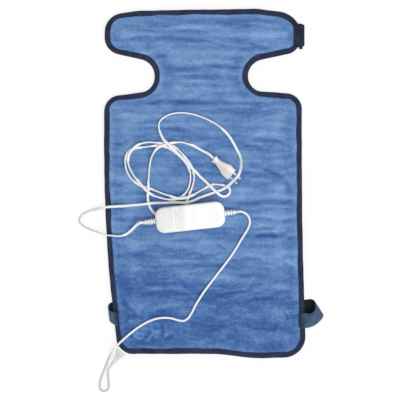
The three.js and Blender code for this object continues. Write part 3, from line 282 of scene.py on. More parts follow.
def running_length(line):
    """Length of a line up to each of its points."""
    return np.concatenate([[0], np.cumsum(np.linalg.norm(np.diff(line, axis=0), axis=1))])


def even_steps(line, step):
    run = running_length(line)
    count = max(2, round(run[-1] / step)) + 1
    at = np.linspace(0, run[-1], count)
    return np.stack([np.interp(at, run, column) for column in line.T], axis=1)


# %% Skin over rings, and a section swept along a line
def ring_faces(spans, count, sides):
    """Faces between each ring of points and the next: that many spans over that many rings."""
    faces = []
    for i in range(spans):
        a, b = i * sides, (i + 1) % count * sides
        for k in range(sides):
            n = (k + 1) % sides
            faces.append((a + k, b + k, b + n, a + n))
    return faces


def map_rings(piece, sides, run, girth):
    """UV map of such faces: the length along the piece and the girth, in metres."""
    uv = piece.data.uv_layers.new(name="length_and_girth").data
    for face in piece.data.polygons[: (len(run) - 1) * sides]:
        i, k = divmod(face.index, sides)
        corners = ((i, k), (i + 1, k), (i + 1, k + 1), (i, k + 1))
        for loop, (a, b) in zip(face.loop_indices, corners):
            uv[loop].uv = (run[a], girth[b])


def skin(name, rings):
    """Closed skin over rings of points, in metres."""
    count, sides = rings.shape[:2]
    faces = ring_faces(count - 1, count, sides)
    faces.append(tuple(range(sides)))
    faces.append(tuple(reversed(range((count - 1) * sides, count * sides))))
    piece = mesh_piece(name, rings.reshape(-1, 3), faces)
    girth = running_length(np.vstack([rings[0], rings[0, :1]]))
    map_rings(piece, sides, running_length(rings.mean(1)), girth)
    close_seams(piece, SAME_POINT * MM)
    return piece


def sweep(name, line, section, turns=0.0):
    """Section of (across, up) in metres, carried along a line and rolled about it by turns."""
    along = np.gradient(line, axis=0)
    along /= np.linalg.norm(along, axis=1)[:, None]
    across = np.cross((0.0, 0.0, 1.0), along)
    across /= np.linalg.norm(across, axis=1)[:, None]
    up = np.cross(along, across)
    roll = np.broadcast_to(turns, len(line))[:, None]
    side = across * np.cos(roll) + up * np.sin(roll)
    rise = up * np.cos(roll) - across * np.sin(roll)
    return skin(name, np.stack([line + side * a + rise * b for a, b in section], axis=1))


# %% Routes of the two leads, in millimetres
# Height of each lead's middle where it lies on the pad's crest. A point that gives no height is there.
MAINS_REST, PAD_LEAD_REST = 15.9, 16.5


def on_crest(height, points):
    return [(*point, height)[:3] for point in points]


MAINS_ROUTE = on_crest(MAINS_REST, [
    (-133, -83.6, 24.2), (-142, -92.5, 19.2), (-153, -101), (-167, -105), (-182, -104, 15.4),
    (-193, -103, 13.1), (-204, -100, 8.9), (-216, -96, 4.4), (-229, -91, 2), (-240, -85, 2),
    (-248, -76, 2), (-246, -67, 2), (-237, -59, 2), (-225, -54, 2.8), (-213, -51, 6.6),
    (-202, -49, 11.2), (-192, -47, 13.9), (-178, -46, 15.6), (-158, -45), (-136, -43, 16.3),
    (-122, -42, 18.2), (-109, -40, 20.3), (-96, -39, 18.2), (-81, -39, 16.2), (-60, -38),
    (-47, -38, 17.2), (-34, -38, 20.3), (-21, -35, 18), (-8, -29), (11, -22), (30, -15.4),
    (37.5, -12.4, 17.2), (44, -9, 20), (50.5, -4.4, 24), (56, 0.8, 29), (60.8, 5.6, 34.6),
    (64.6, 9.4, 41), (67.6, 12.6, 44.6), (70.2, 16.4, 45.8), (72.6, 22, 45), (74.4, 28.6, 41.2),
    (75.6, 36, 34.6), (75.8, 43.5, 27.4), (75, 50.5, 21), (72.6, 57.5, 17), (69, 65), (61, 80),
    (50, 97), (31, 115), (8, 128), (-16, 137), (-40, 141), (-62, 139), (-78, 132), (-87, 122),
    (-88, 110, 16.6), (-84, 98, 19.7), (-78, 87, 23.3), (-70, 79, 24.3), (-62, 71, 23.3),
    (-52, 61, 20.7), (-38, 47, 20.2), (-25, 34, 20.2), (-15, 24, 20), (-6, 14, 18.4), (3, 6, 18.8),
    (12, -3, 20.3), (20, -11, 20.3), (28, -18, 20.2), (35, -24, 17.8), (43, -26, 16.4), (51, -22),
    (54, -14), (50, -7), (42, -4), (32, -2), (20, -2), (6, -8), (-8, -16, 16.4), (-18, -22, 18.6),
    (-27, -26, 20.2), (-37, -29, 20.2), (-47, -30, 20.2), (-57, -28, 20.2), (-67, -24, 18.2),
    (-78, -21, 16.2), (-93, -15), (-109, -9), (-120, -6), (-130, -1), (-139.8, 6), (-147.8, 16),
    (-152.8, 26.5), (-154.8, 37), (-154.9, 47), (-152.2, 57.5), (-146.4, 65.4), (-137.5, 69.8),
    (-126, 71.6), (-112, 73.2), (-99, 74.8), (-87, 75.2), (-76, 73.4), (-66, 69.6), (-57, 63.4),
    (-47, 55), (-38, 46), (-31, 36.4), (-26.4, 25.4), (-25, 13.4), (-26, 2), (-29, -9), (-35, -19),
    (-43, -27), (-53, -31), (-64, -32), (-75, -31), (-87, -28, 18), (-98, -24, 22.4), (-107, -19, 24.2),
    (-115, -12, 23.9), (-122, -4, 22.3), (-129, 5, 20.3), (-136.3, 13.4, 18.3), (-143.3, 25, 16.4),
    (-148.6, 37, 16.2), (-149.4, 48, 18.6), (-146.4, 59.5, 20.3), (-139.5, 69, 20.4), (-131, 76, 20),
    (-122, 80, 17.6), (-111, 82, 16.1), (-101, 82), (-91, 81), (-80, 80), (-70, 78), (-61, 75),
    (-52, 69), (-43, 60), (-34, 50), (-26, 39), (-20, 27), (-18, 15), (-19, 3), (-22, -8), (-26, -18),
    (-29, -27), (-32, -35), (-34, -42), (-36, -48), (-42, -55), (-51, -61), (-64, -66), (-77, -68),
    (-88, -65), (-97, -59), (-104, -51), (-107, -45), (-109, -38), (-110, -30, 17.2), (-110, -22, 19.9),
    (-109, -13, 20.2), (-109, -5, 19.9), (-109, 5, 17.4), (-108, 16, 16), (-107, 30), (-105, 43),
    (-102, 54, 16.3), (-97, 63, 18.2), (-91, 70, 20.2), (-84, 74, 20.2), (-76, 77, 20.2),
    (-68, 80, 20.2), (-60, 81, 19.7), (-51, 82, 17), (-42, 82, 16), (-30, 79), (-18, 75),
    (-6, 68, 16.6),
])
PAD_LEAD_ROUTE = on_crest(PAD_LEAD_REST, [
    (76, -56, 24.6), (84.5, -59.5, 21.4), (91, -66.5, 17.8), (93.4, -76, 16.6), (91.6, -86),
    (86, -96.5), (77, -111), (60, -139), (41, -165), (20, -192), (0, -219), (-15, -243), (-23, -259),
    (-30, -269), (-38, -274), (-49, -273), (-63, -269), (-79, -268), (-94, -270), (-110, -276),
    (-126, -285), (-141, -296), (-153, -306, 16.2), (-163, -315, 14.8), (-171, -323, 13.4),
    (-178, -331, 11.8), (-183, -340, 7.8), (-189, -351, 3.4), (-194, -364, 2.4), (-199, -377, 2.4),
    (-204.4, -391, 2.4), (-206.5, -400, 2.4), (-206.9, -407.6, 2.4), (-204.3, -413.9, 2.4),
    (-198, -416.5, 2.4), (-191.7, -413.9, 2.4), (-189.1, -407.6, 2.4), (-189.3, -399, 2.4),
    (-189.9, -390, 2.4), (-190.2, -381, 2.9), (-189.9, -373.6, 4.1),
])


# %% Ends of the routes, from the frames of the pieces that they meet
def spot(matrix, x, y, z):
    return tuple(matrix @ Vector((x, y, z)) * MM)


RELIEF_END = BOX_LENGTH / 2 + RELIEF_LENGTH
NOSE_END = CONNECTOR_LENGTH + NOSE_LENGTH + 0.4
mains_points = [
    spot(box_frame, -RELIEF_END - CLEARANCE, 0, BOX_SPLIT),
    spot(box_frame, -RELIEF_END - 7, 0, BOX_SPLIT - 0.2),
    *(tuple(c * MM for c in p) for p in MAINS_ROUTE),
    tuple(Vector(spot(plug_frame, -13, 0, 0)) - Vector((0, 0, 1.6 * MM))),
    spot(plug_frame, -5, 0, 0),
    spot(plug_frame, -2 * CLEARANCE, 0, 0),
]
pad_lead_points = [
    spot(box_frame, RELIEF_END + CLEARANCE, 0, BOX_SPLIT),
    *(tuple(c * MM for c in p) for p in PAD_LEAD_ROUTE),
    spot(connector_frame, NOSE_END + 5.5, 0, -0.5),
    spot(connector_frame, NOSE_END + 2.6, 0, 0),
    spot(connector_frame, NOSE_END + 2 * CLEARANCE, 0, 0),
]

# %% Flat twin lead
MAINS_WIDTH, MAINS_THICKNESS = 5.3 * MM, 3.2 * MM
LEAD_STEP = 2.5 * MM
# Stretches of the lead that lie on their broad side, from one point of its route to another.
FLAT_STRETCHES = ((14, 45), (56, 70))
# It also lies so for 50 mm at its ends, and in a room round the controller and the plug.
HELD_END = 0.05
FLAT_ROOMS = ((box_frame, (-80, -36), (80, 36)), (plug_frame, (-25, -26), (80, 26)))
EDGE_TURN = math.radians(88)
TURN_RUN, STRAND_WIDTH, STRAND_STEPS = 14 * MM, 5.2 * MM, 12


def twin_section(width, thickness, steps=9):
    """Two round cores side by side in one sheath, with a shallow groove between them."""
    radius = thickness / 2
    offset = width / 2 - radius
    meet = math.acos(-offset / radius)
    angles = np.linspace(-meet, meet, steps)[:-1]
    right = [(offset + radius * math.cos(a), radius * math.sin(a)) for a in angles]
    return right + [(-x, -y) for x, y in right]


def held_flat(line):
    """Length along the lead, and where it can't stand on its edge."""
    steps = np.arange(len(line))
    plan = np.linalg.norm(line[:, None, :2] - line[None, :, :2], axis=2)
    apart = np.abs(steps[:, None] - steps[None, :]) > STRAND_STEPS
    held = np.where(apart, plan, 1.0).min(1) < STRAND_WIDTH
    for matrix, low, high in FLAT_ROOMS:
        local = np.array([tuple(matrix.inverted() @ Vector(p / MM))[:2] for p in line])
        held |= ((local > low) & (local < high)).all(1)
    run = steps * LEAD_STEP
    held |= (run < HELD_END) | (run > run[-1] - HELD_END)
    for stretch in FLAT_STRETCHES:
        first, last = (np.linalg.norm(line / MM - MAINS_ROUTE[k], axis=1).argmin() for k in stretch)
        held[first:last] = True
    return run, held


mains_line = smooth_line(mains_points, LEAD_STEP)
run, held = held_flat(mains_line)
on_edge = eased(np.abs(run[:, None] - run[None, held]).min(1) / TURN_RUN)
mains_turns = EDGE_TURN * on_edge
half_height = np.hypot(MAINS_WIDTH / 2 * np.sin(mains_turns), MAINS_THICKNESS / 2 * np.cos(mains_turns))
mains_line[:, 2] += half_height - MAINS_THICKNESS / 2
mains_section = twin_section(MAINS_WIDTH, MAINS_THICKNESS)
mains_lead = sweep("mains_lead_sheath", mains_line, mains_section, mains_turns)
smooth(mains_lead, 60)
print("mains lead", running_length(mains_line)[-1].round(3), "m,",
      "on its edge for", (on_edge > 0.5).mean().round(2))

# %% Round lead to the pad
PAD_LEAD_DIAMETER = 4.4 * MM


def round_section(diameter, sides=14):
    angles = [2 * math.pi * k / sides for k in range(sides)]
    return [(diameter / 2 * math.cos(a), diameter / 2 * math.sin(a)) for a in angles]


pad_lead_line = smooth_line(pad_lead_points, LEAD_STEP)
pad_lead = sweep("pad_lead_sheath", pad_lead_line, round_section(PAD_LEAD_DIAMETER))
smooth(pad_lead, 60)
print("pad lead", running_length(pad_lead_line)[-1].round(3), "m")

# %% [markdown]
# ## Light and floor
#
# A plain pale floor, an even sky and one broad soft lamp from the lower right light the pad at a
# level where a colour renders about as it is written. The floor shows near white to the camera
# by its own shader, and still takes a soft shadow of the object. It throws back only a quarter of
# the light, so that a white lead keeps a darker side against it.

# %% Functions for nodes and colours
def hex_colour(code):
    """Linear colour of an sRGB hex value."""
    rgb = [int(code[i : i + 2], 16) / 255 for i in (1, 3, 5)]
    linear = [c / 12.92 if c <= 0.04045 else ((c + 0.055) / 1.055) ** 2.4 for c in rgb]
    return (*linear, 1.0)


def node(tree, kind, inputs=None, stops=(), **settings):
    """One node with its settings. An input is a value, an output to link, or a node for its first one."""
    made = tree.nodes.new(kind)
    for key, value in settings.items():
        setattr(made, key, value)
    for key, value in (inputs or {}).items():
        if isinstance(value, bpy.types.Node):
            value = value.outputs[0]
        if isinstance(value, bpy.types.NodeSocket):
            tree.links.new(value, made.inputs[key])
        else:
            made.inputs[key].default_value = value
    for place, code in stops[1:-1]:
        made.color_ramp.elements.new(place).color = hex_colour(code)
    for end in (0, -1) if stops else ():
        made.color_ramp.elements[end].position = stops[end][0]
        made.color_ramp.elements[end].color = hex_colour(stops[end][1])
    return made


def seen_by_eye(tree):
    """1 for rays that show the backdrop: straight to the camera, mirrored or through glass."""
    ray = node(tree, "ShaderNodeLightPath").outputs
    both = node(tree, "ShaderNodeMath", {0: ray["Is Camera Ray"], 1: ray["Is Glossy Ray"]})
    all_three = {0: both, 1: ray["Is Transmission Ray"]}
    return node(tree, "ShaderNodeMath", all_three, use_clamp=True)


# %% Sky and lamp
SKY_LIGHT, LAMP_STRENGTH, LAMP_SPREAD = 0.62, 1.5, 28
LAMP_FROM = Vector((0.42, -0.5, 1.0)).normalized()
world = bpy.data.worlds.new("pale_studio")
bpy.context.scene.world = world
world.use_nodes = True
sky = world.node_tree
sky.nodes.clear()
dim = node(sky, "ShaderNodeBackground", {"Color": hex_colour("#ffffff"), "Strength": SKY_LIGHT})
bright = node(sky, "ShaderNodeBackground", {"Color": hex_colour("#ffffff"), "Strength": 1.0})
either = node(sky, "ShaderNodeMixShader", {0: seen_by_eye(sky), 1: dim, 2: bright})
node(sky, "ShaderNodeOutputWorld", {"Surface": either})

lamp = add("soft_lamp", bpy.ops.object.light_add, type="SUN", location=LAMP_FROM * 2)
lamp.rotation_euler = LAMP_FROM.to_track_quat("Z", "Y").to_euler()
lamp.data.energy = LAMP_STRENGTH
lamp.data.angle = math.radians(LAMP_SPREAD)

# %% Floor
FLOOR_GLOW, FLOOR_SIDE, FLOOR_DROP = 0.8, 12, 0.4 * MM
floor = add("floor", bpy.ops.mesh.primitive_plane_add, size=FLOOR_SIDE, location=(0, 0, -FLOOR_DROP))
paper = bpy.data.materials.new("white_paper_floor")
paper.use_nodes = True
tree = paper.node_tree
tree.nodes.clear()
matt = node(tree, "ShaderNodeBsdfDiffuse", {"Color": hex_colour("#ffffff")})
glow = node(tree, "ShaderNodeEmission", {"Color": hex_colour("#ffffff"), "Strength": 1.0})
shown = node(tree, "ShaderNodeMixShader", {0: FLOOR_GLOW, 1: matt, 2: glow})
grey = node(tree, "ShaderNodeBsdfDiffuse", {"Color": hex_colour("#8c8c8c")})
sheet = node(tree, "ShaderNodeMixShader", {0: seen_by_eye(tree), 1: grey, 2: shown})
node(tree, "ShaderNodeOutputMaterial", {"Surface": sheet})
floor.data.materials.append(paper)
bpy.context.scene.view_settings.view_transform = "Standard"
print("sky", SKY_LIGHT, "lamp", LAMP_STRENGTH)

# %% [markdown]
# ## Materials
#
# Each material is named for what it is on the real pad. The plush is a warp-knitted polyester
# pile: brushed one way it looks pale, the other way dark, so its colour is blotched along the
# way it was stroked. The tape is a woven polyester, the webbing a ribbed one. The hard parts are
# moulded ABS with a fine satin grain, the leads and reliefs a soft PVC.

# %% Start of a material
def new_material(name):
    """An empty material, its tree of nodes, and the coordinates that its patterns follow."""
    material = bpy.data.materials.new(name)
    material.use_nodes = True
    tree = material.node_tree
    tree.nodes.clear()
    return material, tree, node(tree, "ShaderNodeTexCoord").outputs["Object"]


# %% Plush: polyester pile, brushed in patches
# The lower end's stronger tufts and darker colour fade out between these two heights on the pad, in metres.
LOWER_TONE_BELOW, UPPER_TONE_ABOVE = -0.235, -0.14


def plush_pile():
    material, tree, place = new_material("polyester_plush")
    # The way that the pile was stroked drifts by up to 50 mm over a hand's breadth.
    drift = node(tree, "ShaderNodeTexNoise", {
        "Vector": place, "Scale": 9.0, "Detail": 1.0}).outputs["Color"]
    drifted = node(tree, "ShaderNodeVectorMath", {0: drift, 1: (0.04, 0.05, 0.0), 2: place},
                   operation="MULTIPLY_ADD")
    # Strokes of a hand leave patches about 60 mm wide and 22 mm high.
    stroke = node(tree, "ShaderNodeMapping", {"Vector": drifted, "Scale": (16, 46, 20)})
    # Combed streaks of pile are 50 mm long and 9 mm high.
    comb = node(tree, "ShaderNodeMapping", {"Vector": drifted, "Scale": (20, 112, 60)})
    # Tufts that stand up or lie down together are about 12 mm across. Flecks, where single tufts
    # catch the light, are drawn at 4 mm so that they show.
    patches, streaks, tufts, flecks = (
        node(tree, "ShaderNodeTexNoise", {
            "Vector": vector, "Scale": scale, "Detail": detail, "Roughness": roughness}).outputs["Fac"]
        for vector, scale, detail, roughness in (
            (stroke, 1.0, 3.0, 0.55), (comb, 1.0, 2.5, 0.55),
            (place, 85.0, 3.0, 0.6), (place, 250.0, 2.0, 0.7)))
    # Towards the lower end, sooner at the left, the tufts show more and the colour is darker.
    height = node(tree, "ShaderNodeVectorMath", {0: place, 1: (0.18, 1.0, 0.0)},
                  operation="DOT_PRODUCT").outputs["Value"]
    tuft_share, darker = (
        node(tree, "ShaderNodeMapRange", {
            "Value": height, "From Min": LOWER_TONE_BELOW, "From Max": UPPER_TONE_ABOVE,
            "To Min": lowest, "To Max": highest}, interpolation_type="SMOOTHSTEP")
        for lowest, highest in ((0.55, 0.3), (-0.83, -0.485)))
    # Painted shade in creases and painted light on crests, by how far a point lies below its neighbours; a
    # painted highlight on the pile just inside the tape.
    hollow, lift = (node(tree, "ShaderNodeAttribute", attribute_name=mark).outputs["Fac"]
                    for mark in ("hollow", "pile_lift"))
    mixed = node(tree, "ShaderNodeMath", {0: patches, 1: 0.75}, operation="MULTIPLY")
    for layer, share in ((streaks, 0.5), (tufts, tuft_share), (flecks, 0.5),
                         (darker, 1.0), (hollow, -0.3), (lift, 0.12)):
        mixed = node(tree, "ShaderNodeMath", {0: layer, 1: share, 2: mixed}, operation="MULTIPLY_ADD")
    colour = node(tree, "ShaderNodeValToRGB", {"Fac": mixed}, stops=(
        (0.1, "#375998"), (0.3, "#476ba5"), (0.57, "#6589bb"), (0.72, "#7497c7"), (0.9, "#86a8d4")))
    # Tips of the pile, drawn at 2.4 mm where real ones are under 1 mm, so that they show.
    tips = node(tree, "ShaderNodeTexNoise", {"Vector": place, "Scale": 420.0, "Detail": 2.0}).outputs["Fac"]
    bump = node(tree, "ShaderNodeBump", {"Height": tips, "Strength": 0.35, "Distance": 0.0012})
    bump = node(tree, "ShaderNodeBump", {
        "Height": mixed, "Strength": 0.5, "Distance": 0.003, "Normal": bump})
    shader = node(tree, "ShaderNodeBsdfPrincipled", {
        "Base Color": colour, "Roughness": 0.95, "Specular IOR Level": 0.1, "Normal": bump,
        "Sheen Weight": 0.15, "Sheen Roughness": 0.5, "Sheen Tint": hex_colour("#a9c4e6")})
    node(tree, "ShaderNodeOutputMaterial", {"Surface": shader})
    return material


# %% Tape, webbing and backing: woven polyester
# A wave texture repeats every pi / 10 of its own scale's unit, so this scale gives one wave a thread.
ONE_WAVE = 0.314


def woven(name, dark, light, rib, pick, sheen, end_shade=None):
    """Cloth with ribs and picks of those sizes along its UV map, both in metres, a little slubby.
    Where its end is marked it takes a painted shade, in another, darker colour."""
    material, tree, place = new_material(name)
    length = node(tree, "ShaderNodeUVMap").outputs["UV"]
    scaled = node(tree, "ShaderNodeMapping", {"Vector": length, "Scale": (1 / rib, 1 / pick, 1)})
    ribs, picks = (
        node(tree, "ShaderNodeTexWave", {"Vector": scaled, "Scale": ONE_WAVE, "Distortion": slub},
             wave_type="BANDS", bands_direction=way).outputs["Fac"]
        for way, slub in (("X", 0.5), ("Y", 0.4)))
    weave = node(tree, "ShaderNodeMath", {0: picks, 1: 0.5, 2: ribs}, operation="MULTIPLY_ADD")
    worn = node(tree, "ShaderNodeTexNoise", {
        "Vector": place, "Scale": 60.0, "Detail": 4.0, "Roughness": 0.6}).outputs["Fac"]
    shade = node(tree, "ShaderNodeMath", {0: weave, 1: 0.28, 2: worn}, operation="MULTIPLY_ADD")
    stops = [(0.42, dark), (0.92, light)]
    # A strap's end over the pad takes a painted shade, from the darkest stop of the ramp.
    if end_shade:
        stops.insert(0, (0.0, end_shade))
        end_shade_share = node(tree, "ShaderNodeAttribute", attribute_name="end_shade").outputs["Fac"]
        shade = node(tree, "ShaderNodeMath", {0: end_shade_share, 1: -0.6, 2: shade}, operation="MULTIPLY_ADD")
    colour = node(tree, "ShaderNodeValToRGB", {"Fac": shade}, stops=stops)
    bump = node(tree, "ShaderNodeBump", {"Height": weave, "Strength": 0.6, "Distance": 0.0004})
    shader = node(tree, "ShaderNodeBsdfPrincipled", {
        "Base Color": colour, "Roughness": 0.85, "Specular IOR Level": 0.25, "Normal": bump,
        "Sheen Weight": sheen, "Sheen Roughness": 0.4})
    node(tree, "ShaderNodeOutputMaterial", {"Surface": shader})
    return material


# %% Moulded plastics, PVC, felt and rubber
GLOSS_SPREAD = 0.06


def moulded_surface(tree, place, colour, roughness, grain, depth, ior):
    """A colour with the fine grain of the tool's surface, grain metres wide and depth metres deep."""
    pores = node(tree, "ShaderNodeTexNoise", {
        "Vector": place, "Scale": 1 / grain, "Detail": 2.0}).outputs["Fac"]
    gloss = node(tree, "ShaderNodeMapRange", {
        "Value": pores, "To Min": roughness - GLOSS_SPREAD, "To Max": roughness + GLOSS_SPREAD})
    bump = node(tree, "ShaderNodeBump", {"Height": pores, "Strength": 0.25, "Distance": depth})
    shader = node(tree, "ShaderNodeBsdfPrincipled", {
        "Base Color": colour, "Roughness": gloss, "IOR": ior, "Normal": bump})
    node(tree, "ShaderNodeOutputMaterial", {"Surface": shader})


def moulded(name, dark, light, roughness, grain, depth, ior=1.5):
    """Such a surface with a faint clouding of its colour."""
    material, tree, place = new_material(name)
    cloud = node(tree, "ShaderNodeTexNoise", {"Vector": place, "Scale": 45.0, "Detail": 3.0}).outputs["Fac"]
    clouding = ((0.35, dark), (0.65, light))
    colour = node(tree, "ShaderNodeValToRGB", {"Fac": cloud}, stops=clouding)
    moulded_surface(tree, place, colour, roughness, grain, depth, ior)
    return material


# %% Sheath of the leads: soft PVC
def lead_vinyl():
    """White PVC, with a painted shade where a lead hangs past the pad's edge and lies low."""
    material, tree, place = new_material("soft_pvc_sheath")
    height = node(tree, "ShaderNodeSeparateXYZ", {"Vector": place}).outputs["Z"]
    # Painted shade: the lead darkens as it comes down from 14 mm to 6 mm.
    unshaded_share = node(tree, "ShaderNodeMapRange", {
        "Value": height, "From Min": 0.006, "From Max": 0.014, "To Min": 0.0, "To Max": 0.9})
    cloud = node(tree, "ShaderNodeTexNoise", {"Vector": place, "Scale": 60.0, "Detail": 3.0}).outputs["Fac"]
    tone = node(tree, "ShaderNodeMath", {0: cloud, 1: 0.1, 2: unshaded_share}, operation="MULTIPLY_ADD")
    colour = node(tree, "ShaderNodeValToRGB", {"Fac": tone}, stops=(
        (0.0, "#c6c5c3"), (0.1, "#d2d1cf"), (1.0, "#f1f2f2")))
    moulded_surface(tree, place, colour, 0.38, 1 / 830, 0.00003, 1.54)
    return material


# %% Cover of the controller: ABS in three zones
# Edges of the band across the cover, from its middle in millimetres, and how softly the tone changes.
BAND_LEFT, BAND_RIGHT = -34.0, -11.0
ZONE_BLUR = 0.003


def cover_plastic():
    """Satin ABS in three tones: greyest left of the band, paler on it and white right of it."""
    material, tree, place = new_material("abs_white_zones")
    middle = (BOX_AT[0] * MM, BOX_AT[1] * MM, 0.0)
    from_middle = node(tree, "ShaderNodeVectorMath", {0: place, 1: middle}, operation="SUBTRACT")
    length_way = (math.cos(BOX_TURN), math.sin(BOX_TURN), 0.0)
    along = node(tree, "ShaderNodeVectorMath", {0: from_middle, 1: length_way},
                 operation="DOT_PRODUCT").outputs["Value"]
    half = BOX_LENGTH / 2 * MM
    share = node(tree, "ShaderNodeMapRange", {"Value": along, "From Min": -half, "From Max": half})
    zones = ((BAND_LEFT, "#e6e5e3", "#eeedea"), (BAND_RIGHT, "#eeedea", "#fafaf9"))
    stops = [(0.0, zones[0][1])]
    for edge_at, before, after in zones:
        at = 0.5 + edge_at / BOX_LENGTH
        stops += [(at - ZONE_BLUR, before), (at + ZONE_BLUR, after)]
    stops.append((1.0, zones[-1][2]))
    colour = node(tree, "ShaderNodeValToRGB", {"Fac": share}, stops=stops)
    moulded_surface(tree, place, colour, 0.42, 1 / 1100, 0.00004, 1.53)
    return material


# %% Plated and drawn metals
def metal(name, dark, light, roughness, grain):
    """Plated or drawn metal: fine marks change its gloss and tone."""
    material, tree, place = new_material(name)
    marks = node(tree, "ShaderNodeTexNoise", {
        "Vector": place, "Scale": 1 / grain, "Detail": 4.0}).outputs["Fac"]
    tone = node(tree, "ShaderNodeValToRGB", {"Fac": marks}, stops=((0.3, dark), (0.7, light)))
    gloss = node(tree, "ShaderNodeMapRange", {
        "Value": marks, "To Min": roughness - 0.08, "To Max": roughness + 0.12})
    bump = node(tree, "ShaderNodeBump", {"Height": marks, "Strength": 0.1, "Distance": 0.0001})
    shader = node(tree, "ShaderNodeBsdfPrincipled", {
        "Base Color": tone, "Metallic": 1.0, "Roughness": gloss, "Normal": bump})
    node(tree, "ShaderNodeOutputMaterial", {"Surface": shader})
    return material


# %% All materials, one for each finish
paint = {
    "plush": plush_pile(),
    "backing": woven("polyester_backing_cloth", "#4c5566", "#6b7587", 0.0016, 0.0016, 0.1),
    "binding": woven("polyester_binding_tape", "#141b2e", "#2d3856", 0.0018, 0.0036, 0.2),
    # The last colour is the painted shade at the webbing's end over the pad.
    "webbing": woven("polyester_webbing", "#30455e", "#526a86", 0.0024, 0.0018, 0.2, end_shade="#0f1623"),
    "felt": moulded("needled_felt", "#a9a69e", "#c4c1b8", 0.9, 0.0012, 0.0005),
    "hook_tape": moulded("nylon_hook_tape", "#15161d", "#2a2d3a", 0.7, 0.0016, 0.0006),
    "housing": moulded("abs_white_satin", "#eeeeec", "#f6f6f4", 0.42, 0.0009, 0.00004, ior=1.53),
    "warm_plastic": moulded("abs_warm_white", "#e4e1dc", "#ece9e5", 0.45, 0.0009, 0.00004, ior=1.53),
    "vinyl": moulded("soft_pvc_white", "#e8e9e9", "#f1f2f2", 0.38, 0.0012, 0.00003, ior=1.54),
    "lens": moulded("polycarbonate_lens", "#e6e4df", "#f0eeea", 0.22, 0.002, 0.00002, ior=1.58),
    "nickel": metal("nickel_plated_brass", "#cfcfd1", "#e3e3e5", 0.22, 0.0008),
    "brass": metal("brass_strip", "#bd963f", "#d6b262", 0.3, 0.0008),
    "steel": metal("zinc_plated_steel", "#a9adb3", "#c6cad0", 0.32, 0.0008),
    "board": moulded("glass_epoxy_board", "#27583a", "#336f4a", 0.4, 0.0015, 0.00004),
    "black_plastic": moulded("black_nylon", "#17181a", "#232427", 0.45, 0.0009, 0.00005),
    "red_insulation": moulded("red_silicone_rubber", "#a53d31", "#bb5042", 0.5, 0.0012, 0.00004),
}
cover_finish = cover_plastic()
plug_finish = moulded("soft_pvc_warm_white", "#f4eeea", "#fdf8f4", 0.42, 0.0012, 0.00003, ior=1.54)
connector_finish = moulded("abs_pale_grey", "#d3cfcb", "#dedad7", 0.45, 0.0009, 0.00004, ior=1.53)
slot_of = {row["node"]: row["material_slot"] for row in frame["record"]["subparts"]}
for name, slot in slot_of.items():
    nodes[name].data.materials.clear()
    nodes[name].data.materials.append(paint[slot])
print(len(paint), "materials on", len(nodes), "nodes")


def dress(piece, body, stands_for, finish=None):
    """Give a piece its finish, or that of the node it stands for, and the body that it moves with."""
    piece.data.materials.clear()
    piece.data.materials.append(finish or paint[slot_of[stands_for]])
    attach(piece, body)
    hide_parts(stands_for)


lead_finish = lead_vinyl()
dress(mains_lead, "control_lead", "mains_lead", lead_finish)
dress(pad_lead, "control_lead", "pad_lead", lead_finish)

# %% [markdown]
# ## The pad's outline
#
# The outline is a flat pattern of rounded corners, laid down a little askew. Soft pieces are laid
# out on a grid inside it, and the binding follows it, so it is needed as an evenly spaced line and
# as a distance from any point.

# %% Outline of the pad
# Corners of the pattern: x, y and the radius that rounds them.
COLLAR, NECK_RIGHT, NECK_LEFT = 197.0, 90.2, 96.8
PATTERN = [(HALF, -TOP, 44), (HALF, 179, 32), (NECK_RIGHT, 186, 30), (NECK_RIGHT, 242, 33),
           (COLLAR, 265, 35), (COLLAR, 338, 50), (110, TOP, 120), (-130, 346, 150),
           (-COLLAR, 336, 38), (-COLLAR, 265, 35), (-NECK_LEFT, 242, 33), (-NECK_LEFT, 186, 30),
           (-HALF, 173, 32), (-HALF, -TOP, HEM_RADIUS)]
ARC_STEPS, LAID_PIECE, EDGE_STEP = 24, 6.0, 2.0


def rounded_outline(corners, spacing):
    """Closed line of rounded corners, laid down and evenly spaced, in millimetres."""
    line = []
    for before, here, after in zip(corners[-1:] + corners[:-1], corners, corners[1:] + corners[:1]):
        at = Vector(here[:2])
        back = (Vector(before[:2]) - at).normalized()
        on = (Vector(after[:2]) - at).normalized()
        half = math.acos(max(-1, min(1, back.dot(on)))) / 2
        middle = at + (back + on).normalized() * here[2] / math.sin(half)
        first = at + back * here[2] / math.tan(half) - middle
        last = at + on * here[2] / math.tan(half) - middle
        line += [middle + first.lerp(last, k / ARC_STEPS).normalized() * here[2]
                 for k in range(ARC_STEPS + 1)]
    # Straight stretches are cut up before they are laid, because laying bends them.
    laid = []
    for a, b in zip(line, line[1:] + line[:1]):
        pieces = max(1, int((b - a).length / LAID_PIECE))
        laid += [(*lay(*a.lerp(b, k / pieces)), 0.0) for k in range(pieces)]
    return even_steps(np.array(laid + laid[:1]), spacing)[:-1, :2]


def inward(line):
    """Unit direction into the pad at each point of its outline."""
    along = np.roll(line, -1, 0) - np.roll(line, 1, 0)
    along /= np.linalg.norm(along, axis=1)[:, None]
    return np.column_stack([-along[:, 1], along[:, 0]])


edge = rounded_outline(PATTERN, EDGE_STEP)
# Points that are measured at once, so that the table of distances stays small.
AT_ONCE = 2000


def edge_distance(points):
    """Distance of each point from the outline, less than nothing outside it."""
    points = np.asarray(points, float)
    least = np.empty(len(points))
    for i in range(0, len(points), AT_ONCE):
        part = points[i : i + AT_ONCE]
        least[i : i + AT_ONCE] = np.linalg.norm(part[:, None] - edge[None], axis=2).min(1)
    inside = np.zeros(len(points), bool)
    for (ax, ay), (bx, by) in zip(edge, np.roll(edge, -1, 0)):
        spans = (ay > points[:, 1]) != (by > points[:, 1])
        cross = ax + (points[:, 1] - ay) * (bx - ax) / (by - ay if by != ay else 1)
        inside ^= spans & (points[:, 0] < cross)
    return np.where(inside, least, -least)


print("outline", len(edge), "points,", round(EDGE_STEP * len(edge)), "mm round")
